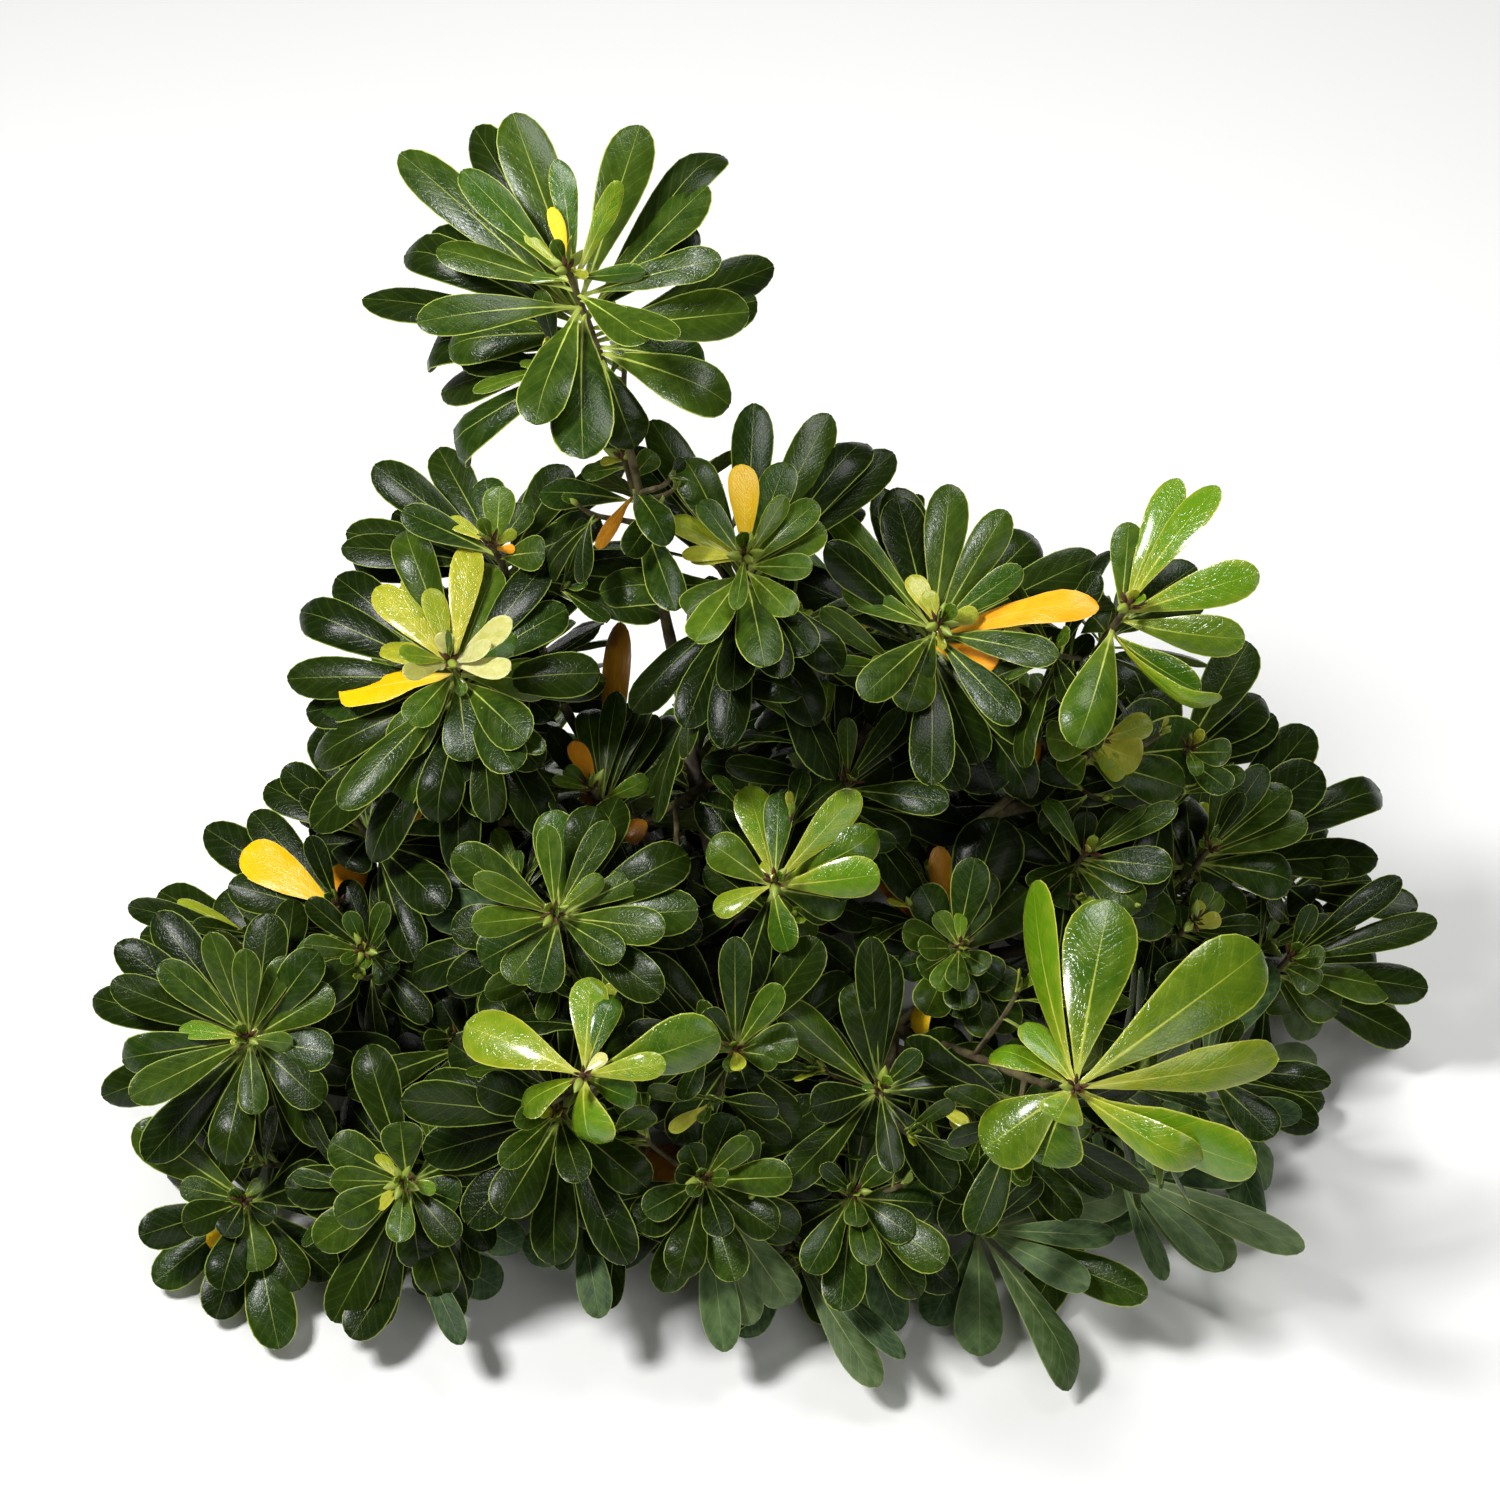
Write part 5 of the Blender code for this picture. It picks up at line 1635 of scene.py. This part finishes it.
        # The oldest leaves, deep inside the crown, take the deepest green: painted shade
        return DEEP if twig.main and twig.shoot.seen else chance.choice((DARK, DARK, DEEP))

    def fits(self, leaf: Leaf, lowest: np.ndarray, highest: np.ndarray) -> bool:
        """Whether a leaf of the rule keeps to its room.

        Args:
            leaf: the leaf.
            lowest: the least corner of the room that the shrub may fill.
            highest: its greatest corner.

        Returns:
            True if the leaf is above the ground, inside the room and the photograph's
            outline, off the sky in it, behind the leaves that it shows, and clear of all
            that has been placed.
        """
        points = ROUGH_SHAPE.points([leaf])[0].reshape(-1, 3)
        if (points < lowest).any() or (points > highest).any():
            return False
        seen = SIGHT.pixel(points)
        if not within(EDGE, seen).all():
            return False
        gaps = np.array(SKY, float)
        away = np.linalg.norm(seen[:, None] - gaps[:, :2], axis=-1)
        if (away < gaps[:, 2]).any():
            return False
        cells, far = self.view(leaf)
        covers = (far < self.shown[cells] - self.touching) & (self.shown[cells] < FAR)
        if covers.sum() > len(far) * self.covering:
            return False
        return not self.spacing.meets(*self.rough(leaf))

    def view(self, leaf: Leaf) -> tuple[tuple[np.ndarray, np.ndarray], np.ndarray]:
        """The squares of the photograph that a leaf's points fall in, and how far away they are.

        Args:
            leaf: the leaf.

        Returns:
            The rows and columns of the squares, and the distances from the eye.
        """
        points = CLOSE_SHAPE.points([leaf])[0].reshape(-1, 3)
        seen = np.clip(SIGHT.pixel(points) / self.square, 0, len(self.shown) - 1).astype(int)
        return (seen[:, 1], seen[:, 0]), np.linalg.norm(points - SIGHT.eye(), axis=1)

    def rough(self, leaf: Leaf) -> tuple[np.ndarray, np.ndarray]:
        """A leaf's upper side in few faces, for the tests.

        Args:
            leaf: the leaf.

        Returns:
            Its points, one a row, and its faces, with four corners each.
        """
        points = ROUGH_SHAPE.points([leaf])[0]
        columns = points[:, (0, 2, 4)].reshape(-1, 3)
        row = np.arange(len(points) - 1)[:, None] * 3
        here = row + np.arange(2)
        return columns, np.stack((here, here + 1, here + 4, here + 3), axis=-1).reshape(-1, 4)

    def place_drawn(self, number: int, mass: Mass) -> None:
        """Places the leaves of a mass that the photograph shows.

        Args:
            number: starts the random choices.
            mass: the mass.
        """
        for twig in self.twigs[mass.name]:
            chance = random.Random(number * 1000 + len(twig.shoot.drawn))
            front = np.full_like(self.shown, FAR)
            for index, seen in enumerate(twig.shoot.drawn):
                leaf = self.drawn_leaf(twig, seen, (index + 0.5) / len(twig.shoot.drawn), front, chance)
                self.leaves[mass.name].append(leaf)
                self.spacing.add(*self.rough(leaf))
                cells, away = self.view(leaf)
                if leaf.tone in OPEN_TONES:
                    np.minimum.at(front, cells, away)
                if twig.shoot.clear or leaf.tone not in HIDDEN_TONES:
                    np.minimum.at(self.shown, cells, away)

    def place_inner(self, number: int, mass: Mass) -> None:
        """Places the small unfolding leaves round the bud on top of every shoot.

        Args:
            number: starts the random choices.
            mass: the mass.
        """
        for place, twig in enumerate(self.twigs[mass.name]):
            chance = random.Random(313 * number + place)
            phase = chance.uniform(0, 360)
            count = self.inner if twig.main else self.inner // 2
            for index in range(0 if twig.shoot.star else count):
                share = (index + 0.5) / count
                length = twig.shoot.leaf * blended(*self.inner_length, share)
                opening = blended(*self.inner_opening, share) * chance.uniform(0.8, 1.2)
                leaf = self.rule_leaf(twig, 0.0, phase + self.golden * index, opening, length)
                leaf.width = length * self.stoutest
                leaf.tone = chance.choice(INNER_TONES[mass.slot])
                self.shaped(leaf, 0.0, chance)
                if not self.spacing.meets(*self.rough(leaf)):
                    self.leaves[mass.name].append(leaf)
                    self.spacing.add(*self.rough(leaf))

    def place_ruled(self, lowest: np.ndarray, highest: np.ndarray) -> None:
        """Places the leaves of the rule, the youngest of every twig first.

        Args:
            lowest: the least corner of the room that the shrub may fill.
            highest: its greatest corner.
        """
        wanted = []
        for number, mass in enumerate(MASSES):
            for place, twig in enumerate(self.twigs[mass.name]):
                chance = random.Random(7919 * number + place)
                phase = chance.uniform(0, 360)
                youngest = 0.45 if twig.shoot.drawn else 0.0
                oldest = 1.25 if twig.shoot.drawn else 1.0
                for index in range(twig.shoot.more):
                    age = blended(youngest, oldest, (index + 0.5) / twig.shoot.more)
                    turn = phase + self.golden * index
                    opening = self.opening(twig.shoot, age) + chance.uniform(-self.scatter, self.scatter)
                    length = self.length(twig.shoot, age) * chance.uniform(0.90, 1.05)
                    first = (not twig.main, age)
                    wanted.append((first, number, place, index, age, turn, opening, length))
        for _, number, place, index, age, turn, opening, length in sorted(wanted):
            mass = MASSES[number]
            twig = self.twigs[mass.name][place]
            for more_turn, more_opening, less in self.tries:
                chance = random.Random(number * 10007 + place * 101 + index)
                leaf = self.rule_leaf(twig, age, turn + more_turn, opening + more_opening, length * less)
                leaf.tone = self.tone(mass, twig, age, chance)
                self.shaped(leaf, age, chance)
                if self.fits(leaf, lowest, highest):
                    self.leaves[mass.name].append(leaf)
                    self.spacing.add(*self.rough(leaf))
                    break

    def make_leaves(self, mass: Mass, finishes: dict[Tone, list[bpy.types.Material]]) -> bpy.types.Object:
        """Joins the leaves of a mass into one piece.

        Its materials read where on the blade a point is from the map named blade, how
        broad the blade is there from broad, and which of a few shades the leaf has from
        tint. The other map gives each colour and shade a square of its own, on which all
        leaves of that colour and shade lie together.

        Args:
            mass: the mass.
            finishes: the materials of each colour.

        Returns:
            The piece.
        """
        leaves = self.leaves[mass.name]
        tones = sorted({leaf.tone for leaf in leaves}, key=lambda tone: tone.value)
        number = np.array([tones.index(leaf.tone) for leaf in leaves])
        shade = np.array([leaf.shade for leaf in leaves])
        upper, lower, caps = LEAF_SHAPE.faces()
        places = LEAF_SHAPE.places()
        step = (np.arange(len(leaves)) * len(places))[:, None, None]
        quads = (np.concatenate((upper, lower)) + step).reshape(-1, 4)
        ends = (caps + step).reshape(-1, caps.shape[1])
        slots = np.repeat(number * len(Side), len(upper) + len(lower)).reshape(len(leaves), -1)
        slots[:, len(upper) :] += Side.UNDER.value
        slots = np.concatenate((slots.ravel(), np.repeat(number * len(Side), 2)))
        materials = [material for tone in tones for material in finishes[tone]]
        points = LEAF_SHAPE.points(leaves)
        piece = make_piece("leaves_" + mass.name, points, [quads, ends], materials, LEAF_EDGE, slots)

        mesh = piece.data
        corners = np.concatenate((np.tile(np.concatenate((upper, lower)).ravel(), len(leaves)),
                                  np.tile(caps.ravel(), len(leaves))))
        local = places[corners]
        mesh.uv_layers.new(name="blade").uv.foreach_set("vector", local.astype(np.float32).ravel())
        cell = np.repeat(number * (SHADES + 1) + shade, upper.size + lower.size).reshape(len(leaves), -1)
        cell[:, upper.size :] += SHADES - shade[:, None]
        cell = np.concatenate((cell.ravel(), np.repeat(number * (SHADES + 1) + shade, caps.size)))
        across = math.ceil(math.sqrt(len(tones) * (SHADES + 1)))
        corner = np.stack((cell % across, cell // across), axis=-1)
        sheet = (corner + 0.04 + 0.92 * local) / across
        mesh.uv_layers.new(name="OFBake").uv.foreach_set("vector", sheet.astype(np.float32).ravel())
        tint = shade / (SHADES - 1)
        tint = np.concatenate((np.repeat(tint, len(upper) + len(lower)), np.repeat(tint, 2)))
        mesh.attributes.new("tint", "FLOAT", "FACE").data.foreach_set("value", tint.astype(np.float32))
        broad = np.maximum(LEAF_SHAPE.half_width(places[:, 1]), 0.05)
        mesh.attributes.new("broad", "FLOAT", "POINT").data.foreach_set(
            "value", np.tile(broad, len(leaves)).astype(np.float32)
        )
        return piece

    def make_twigs(self, number: int, mass: Mass, skin: bpy.types.Material) -> bpy.types.Object:
        """Joins the stem and the twigs of a mass into one piece.

        Args:
            number: starts the random relief.
            mass: the mass.
            skin: the twigs' finish.

        Returns:
            The piece.
        """
        points, quads, caps, start = [], [], {}, 0
        path = self.limbs.bough_path(mass)
        arriving = unit(path[-1] - path[-2])
        stem = path[-1] + arriving * np.linspace(-0.004, self.stem, 6)[:, None]
        limbs = [(stem, np.linspace(self.limbs.tip_radius, self.twig_radii[0], 6), 10)]
        for twig in self.twigs[mass.name]:
            radii = self.twig_radii if twig.main else self.side_radii
            share = np.linspace(0, 1, len(twig.path))
            knots = 1 + 0.10 * np.sin(np.arange(len(share)) * 2.4)
            limbs.append((twig.path, blended(*radii, share) * knots, 8 if twig.main else 6))
        for index, (line, radii, sides) in enumerate(limbs):
            bumps = relief(number * 50 + index, len(line), sides, 0.00008)
            rings, skin_faces, ends = tube(line, radii[:, None] + bumps, sides)
            points.append(rings.reshape(-1, 3))
            quads.append(skin_faces + start)
            caps.setdefault(sides, []).extend(end + start for end in ends)
            start += rings.size // 3
        faces = [np.concatenate(quads), *(np.concatenate(rows) for rows in caps.values())]
        return make_piece("twigs_" + mass.name, np.concatenate(points), faces, [skin], TWIG_EDGE)

    def make_buds(self, number: int, mass: Mass, scales: list[bpy.types.Material]) -> bpy.types.Object | None:
        """Joins the buds of a mass: a brown one on each twig's tip, and green ones round it.

        A bud is a ring of eight points carried along its axis, with a radius of the sine of
        the share along it, slimmer towards its point.

        Args:
            number: starts the random choices.
            mass: the mass.
            scales: the finishes of green and of dry scales.

        Returns:
            The piece.
        """
        chance = random.Random(number + 31)
        points, quads, slots, caps, start = [], [], [], [], 0
        share = np.linspace(0.02, 0.98, 7)
        profile = np.sin(math.pi * share**0.8) ** 0.8 * (1 - 0.35 * share)
        for twig in self.twigs[mass.name]:
            tip, axis = twig.at(0.0)
            buds = [(tip - axis * 0.002, axis, 0.008, 0.0021, 1 if twig.main else 0)]
            across = unit(np.cross(axis, np.array((1.0, 0.2, 0.1))))
            phase = chance.uniform(0, 6.28)
            for index in range(twig.shoot.buds + (6 if twig.main else 0)):
                green = index < twig.shoot.buds
                turn = phase + math.radians(self.golden) * index
                outward = across * math.cos(turn) + np.cross(axis, across) * math.sin(turn)
                way = unit(axis + outward * (1.3 if green else chance.uniform(0.4, 1.4)))
                length = chance.uniform(*(self.green_bud if green else self.dry_bud))
                wide = length * (0.27 if green else 0.17)
                buds.append((tip + outward * 0.0015 - axis * 0.003, way, length, wide, 0 if green else 1))
            for foot, way, length, wide, kind in buds:
                rings, skin_faces, ends = tube(foot + way * (share * length)[:, None], profile * wide, 8)
                points.append(rings.reshape(-1, 3))
                quads.append(skin_faces + start)
                caps.append(np.concatenate(ends) + start)
                slots.append(kind)
                start += rings.size // 3
        faces = [np.concatenate(quads), np.concatenate(caps)]
        kinds = np.array(slots)
        owner = np.concatenate((np.repeat(kinds, len(quads[0])), np.repeat(kinds, 2)))
        return make_piece("buds_" + mass.name, np.concatenate(points), faces, scales, BUD_EDGE, owner)

    def build(self) -> None:
        """Grows and makes the foliage of every mass, which replaces the mass's solid."""
        low, high = (np.array(corner) for corner in cad_box)
        margin = 0.01 * (high - low)
        lowest, highest = low - margin, high + margin
        lowest[2] = GROUND
        for number, mass in enumerate(MASSES):
            self.leaves[mass.name] = []
            self.twigs[mass.name] = self.grow_twigs(number, mass)
        for number, mass in enumerate(MASSES):
            self.place_drawn(number, mass)
        for number, mass in enumerate(MASSES):
            self.place_inner(number, mass)
        for mass in MASSES:
            path = self.limbs.bough_path(mass, 8)
            radii = np.linspace(self.limbs.root_radius, self.limbs.tip_radius, 9)
            rings, skin_faces, _ = tube(path, radii, 5)
            self.spacing.add(rings.reshape(-1, 3), skin_faces)
        self.place_ruled(lowest, highest)
        finishes = {finish.tone: finish.materials() for finish in LEAF_FINISHES}
        skin = YOUNG_BARK.material()
        scales = [finish.material() for finish in BUD_FINISHES]
        for number, mass in enumerate(MASSES):
            for piece, slot in (
                (self.make_leaves(mass, finishes), mass.slot),
                (self.make_twigs(number, mass, skin), "bark"),
                (self.make_buds(number, mass, scales), mass.slot),
            ):
                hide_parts("foliage_" + mass.name)
                report(piece)
        log.info("leaves in all: %d", sum(len(leaves) for leaves in self.leaves.values()))


@dataclass(frozen=True)
class Studio:
    """A plain pale floor, soft light and the photograph's camera."""

    floor: float = 8.0
    pale: str = "#FAFAF8"

    def add_lamp(self, name: str, place: tuple, size: float, watts: float) -> None:
        """A square soft lamp that looks at the middle of the crown.

        Args:
            name: its name.
            place: where it stands.
            size: its side in metres.
            watts: its power.
        """
        lamp = bpy.data.lights.new(name, "AREA")
        lamp.size, lamp.energy = size, watts
        stand = bpy.data.objects.new(name, lamp)
        stand.location = place
        way = (Vector((0.0, 0.0, 0.25)) - stand.location).normalized()
        stand.rotation_euler = way.to_track_quat("-Z", "Y").to_euler()
        bpy.context.scene.collection.objects.link(stand)

    def build(self) -> None:
        """Makes the floor, the world, the lamps and the camera."""
        half = self.floor / 2
        corners = np.array(((-half, -half, 0), (half, -half, 0), (half, half, 0), (-half, half, 0)), float)
        mesh = bpy.data.meshes.new("studio_floor")
        mesh.from_pydata(corners.tolist(), [], [(0, 1, 2, 3)])
        material, _, shader = new_finish("floor_paint")
        shader.inputs["Base Color"].default_value = colour(self.pale)
        shader.inputs["Roughness"].default_value = 0.9
        mesh.materials.append(material)
        floor = bpy.data.objects.new("studio_floor", mesh)
        bpy.context.scene.collection.objects.link(floor)

        world = bpy.data.worlds.new("studio_air")
        world.use_nodes = True
        air = world.node_tree.nodes["Background"]
        air.inputs["Color"].default_value = colour("#FFFFFF")
        air.inputs["Strength"].default_value = 0.08
        bpy.context.scene.world = world
        self.add_lamp("key_lamp", tuple(KEY), 0.45, 45.0)
        self.add_lamp("top_lamp", (0.45, 0.75, 2.1), 0.9, 26.0)
        self.add_lamp("fill_lamp", (1.1, -2.4, 2.0), 1.5, 18.0)

        lens = bpy.data.cameras.new("photo_camera")
        lens.sensor_width = SIGHT.sensor
        lens.lens = SIGHT.sensor * SIGHT.distance / SIGHT.span
        camera = bpy.data.objects.new("photo_camera", lens)
        camera.location = SIGHT.eye()
        camera.rotation_euler = (math.pi / 2 - SIGHT.down, 0.0, 0.0)
        bpy.context.scene.collection.objects.link(camera)
        bpy.context.scene.camera = camera
        bpy.context.scene.view_settings.view_transform = "Standard"


def write_size() -> None:
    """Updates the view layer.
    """
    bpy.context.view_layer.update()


def main() -> None:
    """Builds the studio, the limbs and the foliage in turn."""
    logging.basicConfig(level=logging.INFO, format="%(name)s %(message)s")
    Studio().build()
    limbs = Limbs()
    limbs.build()
    Foliage(limbs).build()
    write_size()


if __name__ == "__main__":
    main()
